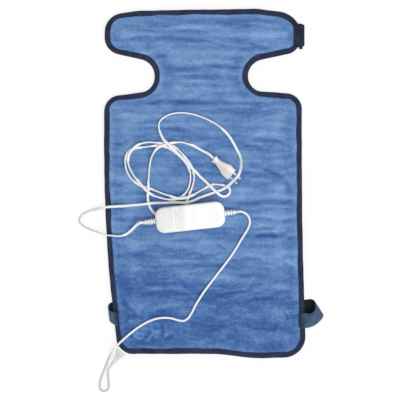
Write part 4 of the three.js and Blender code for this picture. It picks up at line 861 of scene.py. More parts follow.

# %% [markdown]
# ## The plush face
#
# The face is one piece of plush over a felt, sewn down only round its edge. It is full in the
# middle, drawn down at the binding and creased from side to side, because the pad has been rolled
# up. A cloth simulation makes the creases: the cloth is given a little more length than the pad
# has, its edge is held, and it settles over the felt in folds of its own. A few folds are
# started one by one where the pad shows them.

# %% Heights of the layers
EDGE_TOP, BINDING_TOP = 9.1, 10.6
BINDING_WIDTH, CROWN_RUN = 11.5, 44.0
CREASE_DEPTH, CREASE_PITCH, CREASE_SWAY, SWAY_RUN = 0.8, 63.0, 12.0, 70.0
# Listed folds to start: from x, y to x, y, then depth and breadth, in millimetres.
FOLDS = (
    (-80, 226, 82, 224, 0.9, 5), (-66, 205, 84, 208, 0.8, 4), (-40, 192, 60, 193, 0.6, 4),
    (-112, 156, 20, 159, 0.9, 5), (30, 158, 140, 157, 0.8, 5), (-150, 118, -60, 122, 0.5, 5),
    (92, 84, 192, 70, 0.9, 5), (100, 62, 190, 58, 0.7, 4), (84, 44, 150, 14, 0.8, 5),
    (140, 20, 190, -34, 1.0, 6), (96, 20, 160, -6, 0.6, 4), (-190, 76, -140, 80, 0.7, 5),
    (60, -44, 190, -40, 1.0, 6), (50, -82, 186, -80, 0.8, 5), (96, -108, 170, -104, 0.6, 4),
    (-150, -104, -60, -100, 0.6, 5), (-160, -140, 20, -146, 0.6, 5), (-120, -176, 60, -170, 0.7, 5),
    (60, -190, 180, -196, 0.7, 5), (-60, -206, 120, -214, 0.9, 6), (-140, -222, -20, -228, 0.7, 5),
    (-166, -236, -132, -268, 0.9, 5), (-120, -290, -84, -332, 0.6, 5),
    (142, -168, 194, -188, 0.9, 5), (150, -214, 198, -226, 0.6, 5), (40, -300, 120, -330, 0.5, 6),
    (-180, 304, -60, 318, 0.6, 5), (-40, 322, 90, 330, 0.7, 5), (60, 286, 130, 262, 0.7, 5),
    (-120, 282, 20, 286, 0.5, 5), (110, 300, 180, 316, 0.6, 5),
)


def plush_height(points, depth):
    """Full in the middle, drawn down to the bound edge, with soft creases from side to side."""
    rise = eased((depth - BINDING_WIDTH) / CROWN_RUN)
    x, y = points[:, 0], points[:, 1]
    wave = np.cos(2 * math.pi * (y + CREASE_SWAY * np.sin(x / SWAY_RUN)) / CREASE_PITCH)
    return EDGE_TOP + (PAD_CREST - CREASE_DEPTH - EDGE_TOP) * rise + CREASE_DEPTH * wave * rise


# Fingers leave narrow partings in the pile, written in the same way.
PARTINGS = (
    (-146, 96, -100, 97, 0.5, 3), (-186, 77, -158, 76, 0.6, 3), (-68, 93, -30, 92, 0.5, 3),
    (79, 73, 122, 71, 0.6, 3), (86, 66, 136, 65, 0.6, 3), (-74, -8, -30, -9, 0.5, 3),
    (96, -72, 140, -73, 0.6, 3), (98, -93, 142, -92, 0.5, 3), (-188, -73, -152, -75, 0.6, 3),
    (-130, -89, -98, -90, 0.5, 3), (-78, -117, 0, -119, 0.6, 3), (104, -105, 152, -107, 0.9, 4),
    (168, -111, 192, -107, 0.7, 3), (29, -122, 43, -133, 0.6, 3), (72, -152, 120, -151, 0.6, 3),
    (22, -152, 44, -152, 0.5, 3), (156, -158, 194, -183, 1.0, 4), (90, -206, 124, -203, 0.7, 3),
    (20, -223, 92, -219, 0.8, 3), (86, -233, 146, -228, 0.7, 3), (20, -251, 58, -250, 0.5, 3),
    (-102, -293, -123, -316, 1.0, 3), (-147, -305, -126, -320, 0.9, 3), (-166, -257, -145, -267, 0.7, 3),
    (-145, -267, -166, -281, 0.8, 3), (-101, -304, -100, -322, 0.7, 3), (-83, -277, -84, -313, 0.8, 3),
    (-79, -314, -61, -304, 0.8, 3), (-96, -256, -74, -256, 0.8, 4), (160, -254, 172, -272, 0.7, 3),
    (146, -282, 138, -298, 0.7, 3),
    (-60, 300, 20, 304, 0.5, 3), (70, 316, 130, 312, 0.5, 3), (-150, 288, -100, 292, 0.5, 3),
)
BOW_SHARE, WIGGLE_SHARE, WIGGLE_MOST, WIGGLE_RUN = 0.05, 0.03, 3.0, 23.0
# A fold fades out over a share of its length, and throws up a lower ridge two breadths beside it.
END_SHARE, RIDGE_SHARE, RIDGE_AT = 0.16, 0.55, 2.0


def folds_at(points, folds):
    """Depth of the listed folds that are started."""
    down = np.zeros(len(points))
    for ax, ay, bx, by, depth, breadth in folds:
        a, b = np.array((ax, ay), float), np.array((bx, by), float)
        span = np.linalg.norm(b - a)
        along = (b - a) / span
        at = (points - a) @ along / span
        wiggle = min(WIGGLE_MOST, WIGGLE_SHARE * span) * np.sin(points[:, 0] / WIGGLE_RUN + ay)
        bow = BOW_SHARE * span * np.sin(math.pi * np.clip(at, 0, 1)) + wiggle
        off = (points - a) @ np.array((-along[1], along[0])) - bow
        ends = eased(np.minimum(at, 1 - at) / END_SHARE)
        valley = np.exp(-((off / breadth) ** 2))
        ridge = np.exp(-((off / breadth - RIDGE_AT) ** 2))
        down += depth * ends * (valley - RIDGE_SHARE * ridge)
    return down


# %% Grid of the plush
GRID_X, GRID_Y = (-215, 240), (-365, 365)
PLUSH_CELL, SEWN_IN, TAPE_FADE = 5.0, 3.5, 14.0


def grid_inside(cell, margin):
    """Square mesh inside the outline, a margin in from it: its points and its faces."""
    xs, ys = np.arange(*GRID_X, cell), np.arange(*GRID_Y, cell)
    flat = np.array([(x, y) for y in ys for x in xs])
    depth = edge_distance(flat)
    good = (depth > margin).reshape(len(ys), len(xs))
    whole = good[:-1, :-1] & good[:-1, 1:] & good[1:, :-1] & good[1:, 1:]
    corner = np.arange(len(flat)).reshape(len(ys), len(xs))
    quads = np.stack([corner[:-1, :-1], corner[:-1, 1:], corner[1:, 1:], corner[1:, :-1]], -1)[whole]
    used = np.unique(quads)
    return flat[used], depth[used], np.searchsorted(used, quads)


def clear_of_tape(depth):
    """0 under the tape, and 1 from a short run in from it."""
    return np.clip((depth - BINDING_WIDTH) / TAPE_FADE, 0, 1)


flat, depth, quads = grid_inside(PLUSH_CELL, SEWN_IN)
height = plush_height(flat, depth)
inner = clear_of_tape(depth)
height -= folds_at(flat, FOLDS) * inner
plush = mesh_piece("plush_face", np.column_stack([flat, height]) * MM, quads.tolist())
print("plush grid", len(flat), "points")

# %% Slack cloth settles over the felt
SLACK_LONG, SLACK_WIDE = 1.012, 1.004
# Depth of the felt under the laid plush, and how near to it and how far aside and up the cloth may come.
CORE_BELOW, CORE_CLEAR = 2.2, 0.4
SIDE_MOST, RISE_MOST = 2.0, 1.6
SETTLE_FRAMES = 22
CLOTH_GAP, FELT_FRICTION = 0.0008, 12
CLOTH = {"quality": 6, "mass": 0.02, "tension_stiffness": 20, "compression_stiffness": 20,
         "shear_stiffness": 6, "bending_stiffness": 0.25, "air_damping": 4}


def settle(cloth_piece, core):
    """Cloth with more length than its place has, held round its edge, comes to rest on the core."""
    choose(cloth_piece)
    cloth_piece.shape_key_add(name="as_laid", from_mix=False)
    slack = cloth_piece.shape_key_add(name="slack", from_mix=False)
    for point in slack.data:
        point.co.x *= SLACK_WIDE
        point.co.y *= SLACK_LONG
    sewn = cloth_piece.vertex_groups.new(name="sewn")
    sewn.add([int(i) for i in np.nonzero(depth < BINDING_WIDTH)[0]], 1.0, "REPLACE")
    choose(core)
    core.modifiers.new("felt", "COLLISION")
    core.collision.thickness_outer = CLOTH_GAP
    core.collision.cloth_friction = FELT_FRICTION
    choose(cloth_piece)
    cloth = cloth_piece.modifiers.new("cloth", "CLOTH")
    for key, value in CLOTH.items():
        setattr(cloth.settings, key, value)
    cloth.settings.vertex_group_mass = sewn.name
    cloth.settings.rest_shape_key = slack
    cloth.collision_settings.distance_min = CLOTH_GAP
    cloth.collision_settings.use_self_collision = False
    scene = bpy.context.scene
    for number in range(1, SETTLE_FRAMES + 1):
        scene.frame_set(number)
    settled = cloth_piece.evaluated_get(bpy.context.evaluated_depsgraph_get())
    points = np.array([v.co[:] for v in settled.data.vertices]) / MM
    scene.frame_set(1)
    cloth_piece.modifiers.remove(cloth)
    cloth_piece.shape_key_clear()
    return points


core = mesh_piece("felt_core", np.column_stack([flat, height - CORE_BELOW]) * MM, quads.tolist())
points = settle(plush, core)
bpy.data.objects.remove(core)
moved = points[:, 2] - height
print("settled by", round(float(moved.min()), 2), "to", round(float(moved.max()), 2), "mm")
flat = flat + np.clip(points[:, :2] - flat, -SIDE_MOST, SIDE_MOST)
height = height + np.clip(moved, CORE_CLEAR - CORE_BELOW, RISE_MOST) * inner

# %% Finish the plush: round its crests, and mark its hollows and the pile by the tape for painted shade and highlight
PLUSH_TOP, CREST_SOFT = 14.15, 1.0
# Smoothing rounds and range of the painted shade in the creases.
MEAN_ROUNDS, CREASE_SHADE_RANGE = 16, (-0.6, 0.9)
# Place and run of the painted highlight on the pile by the tape, in millimetres.
RIM_HIGHLIGHT_AT, RIM_HIGHLIGHT_RUN = 3.0, 5.0
over = np.maximum(height - (PLUSH_TOP - CREST_SOFT), 0)
height = np.minimum(height, PLUSH_TOP - CREST_SOFT) + CREST_SOFT * (1 - np.exp(-over / CREST_SOFT))
plush.data.vertices.foreach_set("co", (np.column_stack([flat, height]) * MM).ravel())
plush.data.update()


def neighbours_mean(values, rounds):
    """Values smoothed along the edges of the plush grid."""
    pairs = np.array([e.vertices[:] for e in plush.data.edges])
    count = np.bincount(pairs.ravel(), minlength=len(values))
    for _ in range(rounds):
        total = np.bincount(pairs[:, 0], values[pairs[:, 1]], len(values))
        total += np.bincount(pairs[:, 1], values[pairs[:, 0]], len(values))
        values = (values + total / count) / 2
    return values


# Painted shade where a point lies below the mean of its neighbours, painted light where it lies above.
hollow = np.clip(neighbours_mean(height, MEAN_ROUNDS) - height, *CREASE_SHADE_RANGE) * inner
# Painted highlight on a band of pile just inside the tape.
lift = np.exp(-(((depth - BINDING_WIDTH - RIM_HIGHLIGHT_AT) / RIM_HIGHLIGHT_RUN) ** 2))
for name, values in (("hollow", hollow), ("pile_lift", lift)):
    plush.data.attributes.new(name, "FLOAT", "POINT").data.foreach_set("value", values)
modify(plush, "SUBSURF", levels=1, render_levels=1)

# %% Part the pile on the finer grid, and give the plush a thickness
# The wire under the felt lies in rows across the pad, which show as faint ribs, fainter near the hem.
ROW_PITCH, ROW_DEPTH, ROW_WOBBLE = 18.0, 0.2, 4.0
HEM_FADE_FROM, HEM_FADE_RUN, HEM_FADE_LEAST = -300.0, 240.0, 0.2
PLUSH_THICKNESS = 2.2
fine = np.array([v.co[:] for v in plush.data.vertices]) / MM
hollow = np.array([v.value for v in plush.data.attributes["hollow"].data])
wobble = np.array([ROW_WOBBLE * noise.noise((x / 60, y / 45, 8.2)) for x, y, _ in fine])
rows = np.cos(2 * math.pi * (fine[:, 1] + wobble) / ROW_PITCH)
rows *= np.clip((fine[:, 1] - HEM_FADE_FROM) / HEM_FADE_RUN, HEM_FADE_LEAST, 1)
parted = folds_at(fine[:, :2], PARTINGS) + ROW_DEPTH * rows
parted *= clear_of_tape(edge_distance(fine[:, :2]))
fine[:, 2] -= parted
plush.data.vertices.foreach_set("co", (fine * MM).ravel())
# The partings and rows take the painted shade as well.
plush.data.attributes["hollow"].data.foreach_set("value", hollow + parted)
modify(plush, "SOLIDIFY", thickness=PLUSH_THICKNESS * MM, offset=-1)
smooth(plush, 60)
dress(plush, "pad", "front_panel")
print("plush", len(plush.data.polygons), "faces")

# %% [markdown]
# ## The backing
#
# A plain woven cloth closes the pad underneath. It lies flat on whatever the pad rests on and
# rises to the binding round its edge.

# %% Backing cloth
BACK_LOW, BACK_EDGE, BACK_THICKNESS, BACK_CELL = 0.5, 4.0, 0.7, 8.0
RISE_FROM, RISE_RUN, RIPPLE = 26.0, 15.0, 0.35
flat_back, depth_back, quads_back = grid_inside(BACK_CELL, SEWN_IN)
rise = eased((RISE_FROM - depth_back) / RISE_RUN)
ripple = np.array([noise.noise((x / 46, y / 30, 3.7)) for x, y in flat_back])
height_back = BACK_LOW + (BACK_EDGE - BACK_LOW) * rise
height_back += RIPPLE * (1 + ripple) * (1 - rise)
backing = mesh_piece("backing_cloth", np.column_stack([flat_back, height_back]) * MM, quads_back.tolist())
uv = backing.data.uv_layers.new(name="length_and_width").data
for loop in backing.data.loops:
    uv[loop.index].uv = backing.data.vertices[loop.vertex_index].co[:2]
modify(backing, "SOLIDIFY", thickness=BACK_THICKNESS * MM, offset=1)
modify(backing, "SUBSURF", levels=1, render_levels=1)
smooth(backing, 60)
dress(backing, "pad", "back_panel")

# %% [markdown]
# ## Binding tape
#
# A navy tape is folded round the whole edge and sewn through with one row of stitches. It puckers
# a little between stitches and stands fuller at its fold. The tape is a folded section carried
# round the outline, and the stitches are one small bead copied along it.

# %% Folded tape
# Section of the tape from its upper inner edge round the fold to its lower one: inset and height.
TAPE_OUTSIDE = ((11.6, 9.7), (11.3, 10.4), (9.6, 10.55), (8.0, 10.3), (5.5, 10.7), (3.0, 10.5), (1.0, 9.5),
                (0.0, 7.8), (-0.1, 6.4), (0.0, 4.8), (1.0, 3.0), (3.0, 2.2), (6.5, 2.1), (11.3, 2.2))
TAPE_INSIDE = ((11.3, 3.2), (6.0, 3.2), (2.4, 3.6), (1.3, 5.0), (1.3, 7.6), (2.4, 8.9), (6.0, 9.3),
               (11.0, 9.3))
TAPE_STEP = 3.0


def puckered(at, into, run, inset, z):
    """A point of the tape: its inner edge wanders, and it swells between stitches."""
    share = max(0.0, min(1.0, inset / BINDING_WIDTH))
    wander = 1.9 * noise.noise((run / 37, 0.3, 1.1)) + 0.7 * noise.noise((run / 13, 4.1, 2.6)) - 0.8
    swell = 0.35 * noise.noise((run / 9, inset / 6, 5.2)) + 0.25 * noise.noise((run / 31, 2.0, z / 9))
    sway = 0.6 * noise.noise((run / 26, 7.7, 0.4))
    x, y = at + into * (inset + wander * share + sway)
    return x, y, z + swell * (1 if z > EDGE_MID else 0.5)


rail = rounded_outline(PATTERN, TAPE_STEP)
section = [*TAPE_OUTSIDE, *TAPE_INSIDE]
sides, count = len(section), len(rail)
tape_points = [puckered(at, into, i * TAPE_STEP, inset, z)
               for i, (at, into) in enumerate(zip(rail, inward(rail))) for inset, z in section]
binding = mesh_piece("binding_tape", np.array(tape_points) * MM, ring_faces(count, count, sides))
girth = running_length(np.array(section + section[:1]))
map_rings(binding, sides, np.arange(count + 1) * TAPE_STEP * MM, girth * MM)
close_seams(binding, SAME_POINT * MM)
modify(binding, "SUBSURF", levels=1, render_levels=1)
smooth(binding, 50)
dress(binding, "pad", "edge_binding")
print("tape", round(count * TAPE_STEP), "mm long")

# %% One row of stitches
STITCH_PITCH, STITCH_LENGTH, STITCH_THICK = 3.6, 2.8, 0.75
SEAM_AT = (8.0, 10.4)
bead = add("stitch", bpy.ops.mesh.primitive_uv_sphere_add, segments=6, ring_count=4, radius=0.5)
bead_points = np.array([v.co[:] for v in bead.data.vertices])
bead_faces = [tuple(f.vertices) for f in bead.data.polygons]
bpy.data.objects.remove(bead)
bead_points = bead_points[:, [2, 0, 1]] * (STITCH_LENGTH, STITCH_THICK, STITCH_THICK)
seam = rounded_outline(PATTERN, STITCH_PITCH)
stitch_points, stitch_faces = [], []
for i, (at, into) in enumerate(zip(seam, inward(seam))):
    middle = np.array(puckered(at, into, i * STITCH_PITCH, *SEAM_AT))
    along = np.array((into[1], -into[0], 0))
    across = np.array((*into, 0))
    stitch_faces += [tuple(len(stitch_points) + k for k in face) for face in bead_faces]
    stitch_points += [middle + along * a + across * b + (0, 0, c) for a, b, c in bead_points]
stitches = mesh_piece("binding_stitches", np.array(stitch_points) * MM, stitch_faces)
smooth(stitches, 60)
stitches.data.materials.append(paint["binding"])
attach(stitches, "pad")
print(len(seam), "stitches")

# %% [markdown]
# ## Belt loops and collar tab
#
# The straps are flat woven webbing, passed under the bound edge and folded back over it. A strap
# that is folded askew stands up like the rim of a cup, so each one is spanned between the two lines
# that its selvages follow. Its end over the pad and the face inside each loop carry a painted shade.

# %% Straps
WEBBING = 1.4
# Step along a strap, and the run of the painted shade at its end.
STRAP_STEP, END_SHADE_RUN = 2.4 * MM, 17 * MM
STRAP_UNDER = WEBBING / 2 + 0.4
STRAP_TOP = BINDING_TOP + CLEARANCE + WEBBING / 2
# Half of a strap's section, in shares of its width and thickness: the lines of one face, and an edge.
FACE_LINES = 9
half_section = [(a, 0.5) for a in np.linspace(-0.485, 0.485, FACE_LINES)] + [(0.5, 0.2)]
strap_section = half_section + [(-a, -b) for a, b in half_section]


def strap(name, upper, lower):
    """Webbing with rounded edges, spanned between its two selvages, both in millimetres."""
    both = smooth_line(np.hstack([upper, lower]) * MM, STRAP_STEP)
    middle, width = (both[:, :3] + both[:, 3:]) / 2, both[:, :3] - both[:, 3:]
    face = np.cross(np.gradient(middle, axis=0), width)
    face *= WEBBING * MM / np.linalg.norm(face, axis=1)[:, None]
    piece = skin(name, np.stack([middle + width * a + face * b for a, b in strap_section], axis=1))
    run = running_length(middle)
    # Painted shade over the last stretch of the strap, at its end over the pad.
    end_shade = np.repeat(eased((run - run[-1] + END_SHADE_RUN) / END_SHADE_RUN), len(strap_section))
    piece.data.attributes.new("end_shade", "FLOAT", "POINT").data.foreach_set("value", end_shade)
    return piece


def shade_one_face(piece, finish, first):
    """One face of a strap in a darker finish that paints its shade, from its first line of the section on.
    """
    piece.data.materials.append(finish)
    for face in piece.data.polygons:
        line = face.index % len(strap_section)
        face.material_index = int(first <= line < first + FACE_LINES)


# %% Belt loops, from under the edge, round the fold and back over it
# Upper and lower selvage of each: distance to the right of the pad's side, y and height.
RIGHT_UPPER = ((-10, -233, STRAP_UNDER), (4, -232.6, STRAP_UNDER + 0.2), (10.5, -231.6, 3),
               (16, -232.4, 7.5), (19.4, -236, 14), (20.6, -243, 20.5), (19.6, -251, 24),
               (15, -257.3, 23), (7.5, -259.8, 19), (-1.5, -258.3, 14.5), (-12, -256.5, STRAP_TOP))
RIGHT_LOWER = ((-10, -266, STRAP_UNDER), (7, -265, STRAP_UNDER), (22, -264, 1.4), (31.5, -262.5, 2.2),
               (36.8, -262.5, 4.4), (36, -268, 6.2), (29.2, -276.6, 7), (19.6, -283.8, 8),
               (8.6, -288, 10), (-1.5, -289, STRAP_TOP), (-12, -287.6, STRAP_TOP))
LEFT_UPPER = ((10, -238.5, STRAP_UNDER), (-1, -237.5, STRAP_UNDER + 0.3), (-7, -239.6, 4.6),
              (-10, -244.4, 9.6), (-9.4, -250.6, 14.4), (-5.4, -255, 16), (1, -256.4, 14),
              (11, -256, STRAP_TOP))
LEFT_LOWER = ((10, -270.6, STRAP_UNDER), (2, -270.8, STRAP_UNDER), (-3, -271.6, 2.4), (-6.6, -272.8, 5),
              (-6.8, -275.6, 8.6), (-3, -279.4, 11.2), (3, -282.8, STRAP_TOP), (12, -285.6, STRAP_TOP))


def beside(side_x, *selvages):
    return [[(side_x + out, y, z) for out, y, z in selvage] for selvage in selvages]


right_x, left_x = lay(HALF, -TOP + 80)[0], lay(-HALF, -TOP + 82)[0]
right_loop = strap("belt_loop_right_webbing", *beside(right_x, RIGHT_UPPER, RIGHT_LOWER))
left_loop = strap("belt_loop_left_webbing", *beside(left_x, LEFT_UPPER, LEFT_LOWER))

# %% Collar tab: distance out from the collar's edge, height and half width along its fold
TAB_Y = 296.5
TAB_FOLD = ((-10, STRAP_UNDER, 23), (0.6, STRAP_UNDER, 23), (4.2, STRAP_UNDER + 2, 21.4),
            (5.6, EDGE_MID, 20.6), (3.8, STRAP_TOP - 1.6, 21.4), (-0.6, STRAP_TOP, 23),
            (-15.6, STRAP_TOP, 23))
tab = strap("collar_tab_tape", *([(COLLAR + out, TAB_Y + side * half, z) for out, z, half in TAB_FOLD]
                                 for side in (1, -1)))

# %% Hook tape inside the tab: its broad end shows below, and the rest narrows into the fold
HOOK_INNER, HOOK_OUTER = 0.7, 3.0
HOOK_END = ((-4.4, 0), (-4.4, 5.4), (-2, 9), (HOOK_INNER, 14))
hook_low, hook_high = (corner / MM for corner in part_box("collar_hook_strip"))
hook_z = (hook_low[2] + hook_high[2]) / 2
hook_side = [(out, hook_low[1] + up) for out, up in HOOK_END] + [(HOOK_INNER, hook_high[1])]
hook_tape = strap("collar_hook_tape", [(COLLAR + out, y, hook_z) for out, y in hook_side],
                  [(COLLAR + HOOK_OUTER, y, hook_z) for _, y in hook_side])

# %% Finish of the straps
tab_tape = woven("polyester_tab_tape", "#101524", "#252d47", 0.0018, 0.0036, 0.15)
# A darker copy of the webbing: a painted shade on the face inside each loop.
webbing_painted_shade = woven("polyester_webbing_painted_shade", "#0e131b", "#1c2530", 0.0024, 0.0018, 0.05)
straps = ((right_loop, "belt_loop_right", None), (left_loop, "belt_loop_left", None),
          (tab, "collar_tab", tab_tape), (hook_tape, "collar_hook_strip", None))
for piece, stands_for, finish in straps:
    smooth(piece, 50)
    dress(piece, "pad", stands_for, finish)
# The face inside each loop takes that painted shade.
for piece, first in ((right_loop, 0), (left_loop, len(half_section))):
    shade_one_face(piece, webbing_painted_shade, first)
print("straps", [len(piece.data.polygons) for piece, _, _ in straps])

# %% [markdown]
# ## Hand controller
#
# Two moulded shells meet at a parting line. The cover has a shallow band across it with a pane for
# the level lamps, and a wide plate that is the push-button. Each shell starts as a cube whose
# edges are bevelled, is hollowed by a smaller one, and is cut at the parting line.

# %% Blocks with rounded corners
CORNER_STEPS, RIM_STEPS, ROUND_STEPS = 9, 5, 32


def rounded_block(name, length, width, low, high, radius, top=0.0, bottom=0.0):
    """Cube of that size with its upright edges rounded by a radius, and its rims by top and bottom."""
    piece = add(name, bpy.ops.mesh.primitive_cube_add, size=1)
    piece.data.transform(Matrix.Diagonal((length, width, high - low, 1)))
    shift(piece, 0, 0, (low + high) / 2)
    pick_edges(piece, lambda a, b: abs(a.z - b.z) > (high - low) / 2)
    bpy.ops.mesh.bevel(offset=radius, segments=CORNER_STEPS, affect="EDGES")
    end_edit()
    for rim, bevel in ((high, top), (low, bottom)):
        if bevel:
            pick_edges(piece, lambda a, b: max(abs(a.z - rim), abs(b.z - rim)) < SAME_POINT)
            bpy.ops.mesh.bevel(offset=bevel, segments=RIM_STEPS, affect="EDGES")
            end_edit()
    return piece


def slab(name, x0, x1, width, low, high):
    """Plain cutter across the controller."""
    piece = rounded_block(name, x1 - x0, width, low, high, 0.3)
    shift(piece, (x0 + x1) / 2)
    return piece


def ease_edges(piece, width, segments, degrees):
    """Bevel of each edge that is sharper than an angle."""
    modify(piece, "BEVEL", width=width, segments=segments, limit_method="ANGLE",
           angle_limit=math.radians(degrees))


# %% Round pieces
def turned(name, profile):
    """Round piece about +X, spun from a profile of (distance along, radius) in millimetres."""
    piece = add(name, bpy.ops.mesh.primitive_plane_add, size=2)
    pick_points(piece, lambda point: point.index > 0)
    bpy.ops.mesh.delete(type="VERT")
    bpy.ops.mesh.select_all(action="SELECT")
    at, radius = profile[0]
    bpy.ops.transform.translate(value=(at + 1, 1, radius))
    for (a, r), (b, s) in zip(profile[:-1], profile[1:]):
        bpy.ops.mesh.extrude_region_move(TRANSFORM_OT_translate={"value": (b - a, 0, s - r)})
    bpy.ops.mesh.select_all(action="SELECT")
    bpy.ops.mesh.spin(steps=ROUND_STEPS, angle=2 * math.pi, center=(0, 0, 0), axis=(1, 0, 0))
    end_edit()
    close_seams(piece, SAME_POINT)
    return piece


def rod(name, start, end, radius):
    return turned(name, ((start, 0), (start, radius), (end, radius), (end, 0)))


# %% From the bench to its place
def set_down(piece, place, degrees, body, stands_for, finish=None):
    """Move a piece that was modelled in millimetres to its place, shade it smooth and dress it."""
    piece.data.transform(place)
    piece.data.update()
    smooth(piece, degrees)
    dress(piece, body, stands_for, finish)


# %% Sizes of the controller, and a shell of it
BOX_RADIUS, BOX_RIM_TOP, BOX_RIM_BOTTOM = 17.0, 4.5, 3.0
ROOF = BOX_HEIGHT - BOX_WALL
BUTTON_AT, BUTTON_LENGTH, BUTTON_BREADTH = 27.5, 45.0, 36.0
WINDOW_AT, WINDOW_LENGTH, WINDOW_BREADTH = -30.5, 10.0, 36.0
# The holes in the cover through which the button and the pane show. The pane sits off its window's middle.
HOLE_LENGTH, HOLE_BREADTH = BUTTON_LENGTH - 0.5, BUTTON_BREADTH - 0.5
PANE_OFF, PANE_LENGTH, PANE_BREADTH = 3.0, WINDOW_LENGTH - 4, WINDOW_BREADTH - 0.3
GROOVE_AT, GROOVE_HALF = -21.2, 0.6
PLATE_GAP = 0.1
SCREW_X, SCREW_Y = BOX_LENGTH / 2 - 8, BOX_WIDTH / 2 - 12.5
UPRIGHT = Matrix.Rotation(-math.pi / 2, 4, "Y")


def hollow_shell(name, low, high):
    """The stretch of the moulded box between two heights."""
    shell = rounded_block(name, BOX_LENGTH, BOX_WIDTH, 0, BOX_HEIGHT, BOX_RADIUS,
                          top=BOX_RIM_TOP, bottom=BOX_RIM_BOTTOM)
    inside = rounded_block("room", BOX_LENGTH - 2 * BOX_WALL, BOX_WIDTH - 2 * BOX_WALL, BOX_WALL, ROOF,
                           BOX_RADIUS - 2, top=2, bottom=1)
    carve(shell, inside)
    keep = slab("keep", -BOX_LENGTH, BOX_LENGTH, 3 * BOX_WIDTH, low, high)
    carve(shell, keep, "INTERSECT")
    for side in (1, -1):
        hole = rod("relief_hole", -8, 8, 4.5)
        shift(hole, side * BOX_LENGTH / 2, 0, BOX_SPLIT)
        carve(shell, hole)
    return shell


# %% Lower shell, with a boss and a well for each screw
base = hollow_shell("controller_lower_shell", -9, BOX_SPLIT - CLEARANCE / 2)
for x in (SCREW_X, -SCREW_X):
    for y in (SCREW_Y, -SCREW_Y):
        boss = rod("boss", 1, BOX_SPLIT - CLEARANCE, 4)
        well = turned("well", ((-1, 0), (-1, 3.2), (5, 3.2), (5, 1.8), (20, 1.8), (20, 0)))
        for cutter, how in ((boss, "UNION"), (well, "DIFFERENCE")):
            cutter.data.transform(Matrix.Translation((x, y, 0)) @ UPRIGHT)
            carve(base, cutter, how)
ease_edges(base, 0.25, 2, 50)
set_down(base, box_place, 35, "control_lead", "controller_base")
print("lower shell", len(base.data.polygons), "faces")

# %% Upper shell, with its band and groove and the holes for the button and the pane
cover = hollow_shell("controller_upper_shell", BOX_SPLIT + CLEARANCE / 2, BOX_HEIGHT + 9)
button_hole = rounded_block("button_hole", HOLE_LENGTH, HOLE_BREADTH, ROOF - 2, BOX_HEIGHT + 4, 5.8)
shift(button_hole, BUTTON_AT)
carve(cover, button_hole)
carve(cover, slab("band", BAND_LEFT, BAND_RIGHT, BOX_WIDTH + 4, BOX_HEIGHT - 0.5, BOX_HEIGHT + 2))
carve(cover, slab("groove", GROOVE_AT - GROOVE_HALF, GROOVE_AT + GROOVE_HALF, BOX_WIDTH + 4,
                  BOX_HEIGHT - 1.4, BOX_HEIGHT + 2))
pane_hole = rounded_block("pane_hole", PANE_LENGTH, PANE_BREADTH, ROOF - 3, BOX_HEIGHT + 4, 1.2)
shift(pane_hole, WINDOW_AT + PANE_OFF)
carve(cover, pane_hole)
ease_edges(cover, 0.15, 2, 50)
set_down(cover, box_place, 35, "control_lead", "controller_cover", cover_finish)
print("upper shell", len(cover.data.polygons), "faces")

# %% Level pane
pane = rounded_block("level_pane", PANE_LENGTH - 2 * PLATE_GAP, PANE_BREADTH - 2 * PLATE_GAP,
                     ROOF - 0.9, BOX_HEIGHT - 0.55, 1.0, top=0.2)
shift(pane, PANE_OFF)
pane_lip = rounded_block("pane_lip", WINDOW_LENGTH + 2.6, WINDOW_BREADTH + 3, ROOF - 1.5, ROOF - 0.3, 1.2)
carve(pane, pane_lip, "UNION")
shift(pane, WINDOW_AT)
set_down(pane, box_place, 35, "control_lead", "level_window")
print("pane", len(pane.data.polygons), "faces")

# %% Push-button, with a stem down to the switch and a dimple for the thumb
STEM_FOOT = 17.0
button = rounded_block("button_plate", HOLE_LENGTH - 2 * PLATE_GAP, HOLE_BREADTH - 2 * PLATE_GAP,
                       ROOF - 1.4, BOX_HEIGHT + 0.3, 5.6, top=0.25)
button_lip = rounded_block("button_lip", BUTTON_LENGTH + 2, BUTTON_BREADTH + 2, ROOF - 1.6, ROOF - 0.3, 6.6)
carve(button, button_lip, "UNION")
stem = rod("stem", STEM_FOOT, ROOF - 1, 2.6)
stem.data.transform(UPRIGHT)
carve(button, stem, "UNION")
dimple = add("dimple", bpy.ops.mesh.primitive_uv_sphere_add, segments=32, ring_count=16, radius=1)
dimple_at = Matrix.Translation((10.5, 1, BOX_HEIGHT + 1.0))
dimple.data.transform(dimple_at @ Matrix.Diagonal((3.6, 2.6, 1.0, 1)))
carve(button, dimple)
shift(button, BUTTON_AT)
set_down(button, box_place, 35, "power_button", "power_button", cover_finish)
print("button", len(button.data.polygons), "faces")

# %% Bend reliefs: a foot inside the wall, three ribs with necks between them, and a slim tip
RELIEF_TIP = RELIEF_LENGTH + BOX_WALL
relief_profile = [(-4, 0), (-4, 5.4), (-0.3, 5.4), (-0.3, 4.1), (2.5, 4.1), (2.5, 5.0), (2.9, 5.4)]
for start, radius in ((5.4, 6.0), (11.2, 5.8), (17.0, 5.4)):
    neck = radius - 2.6
    relief_profile += [(start, radius), (start + 0.5, radius - 0.5), (start + 0.8, neck),
                       (start + 2.6, neck), (start + 2.9, radius - 0.7), (start + 3.4, radius - 0.15)]
relief_profile += [(RELIEF_TIP - 3.6, 4.8), (RELIEF_TIP - 2.8, 4.3), (RELIEF_TIP - 2.5, 2.9),
                   (RELIEF_TIP, 2.8), (RELIEF_TIP, 0)]
for side, name in ((1, "relief_pad"), (-1, "relief_mains")):
    relief = turned(name + "_ribs", relief_profile)
    if side < 0:
        relief.data.transform(Matrix.Rotation(math.pi, 4, "Z"))
    shift(relief, side * (BOX_LENGTH / 2 - BOX_WALL), 0, BOX_SPLIT)
    set_down(relief, box_place, 40, "control_lead", name)
print("reliefs", len(relief_profile), "points of profile")

# %% [markdown]
# ## Plug and connector
#
# The flat plug flares from a grip collar to a broad nose, and carries two round pins with
# insulated roots. The connector is a small ribbed trapezium with a round nose for its lead. Both
# are an eight-sided ring that is extruded and resized from station to station.

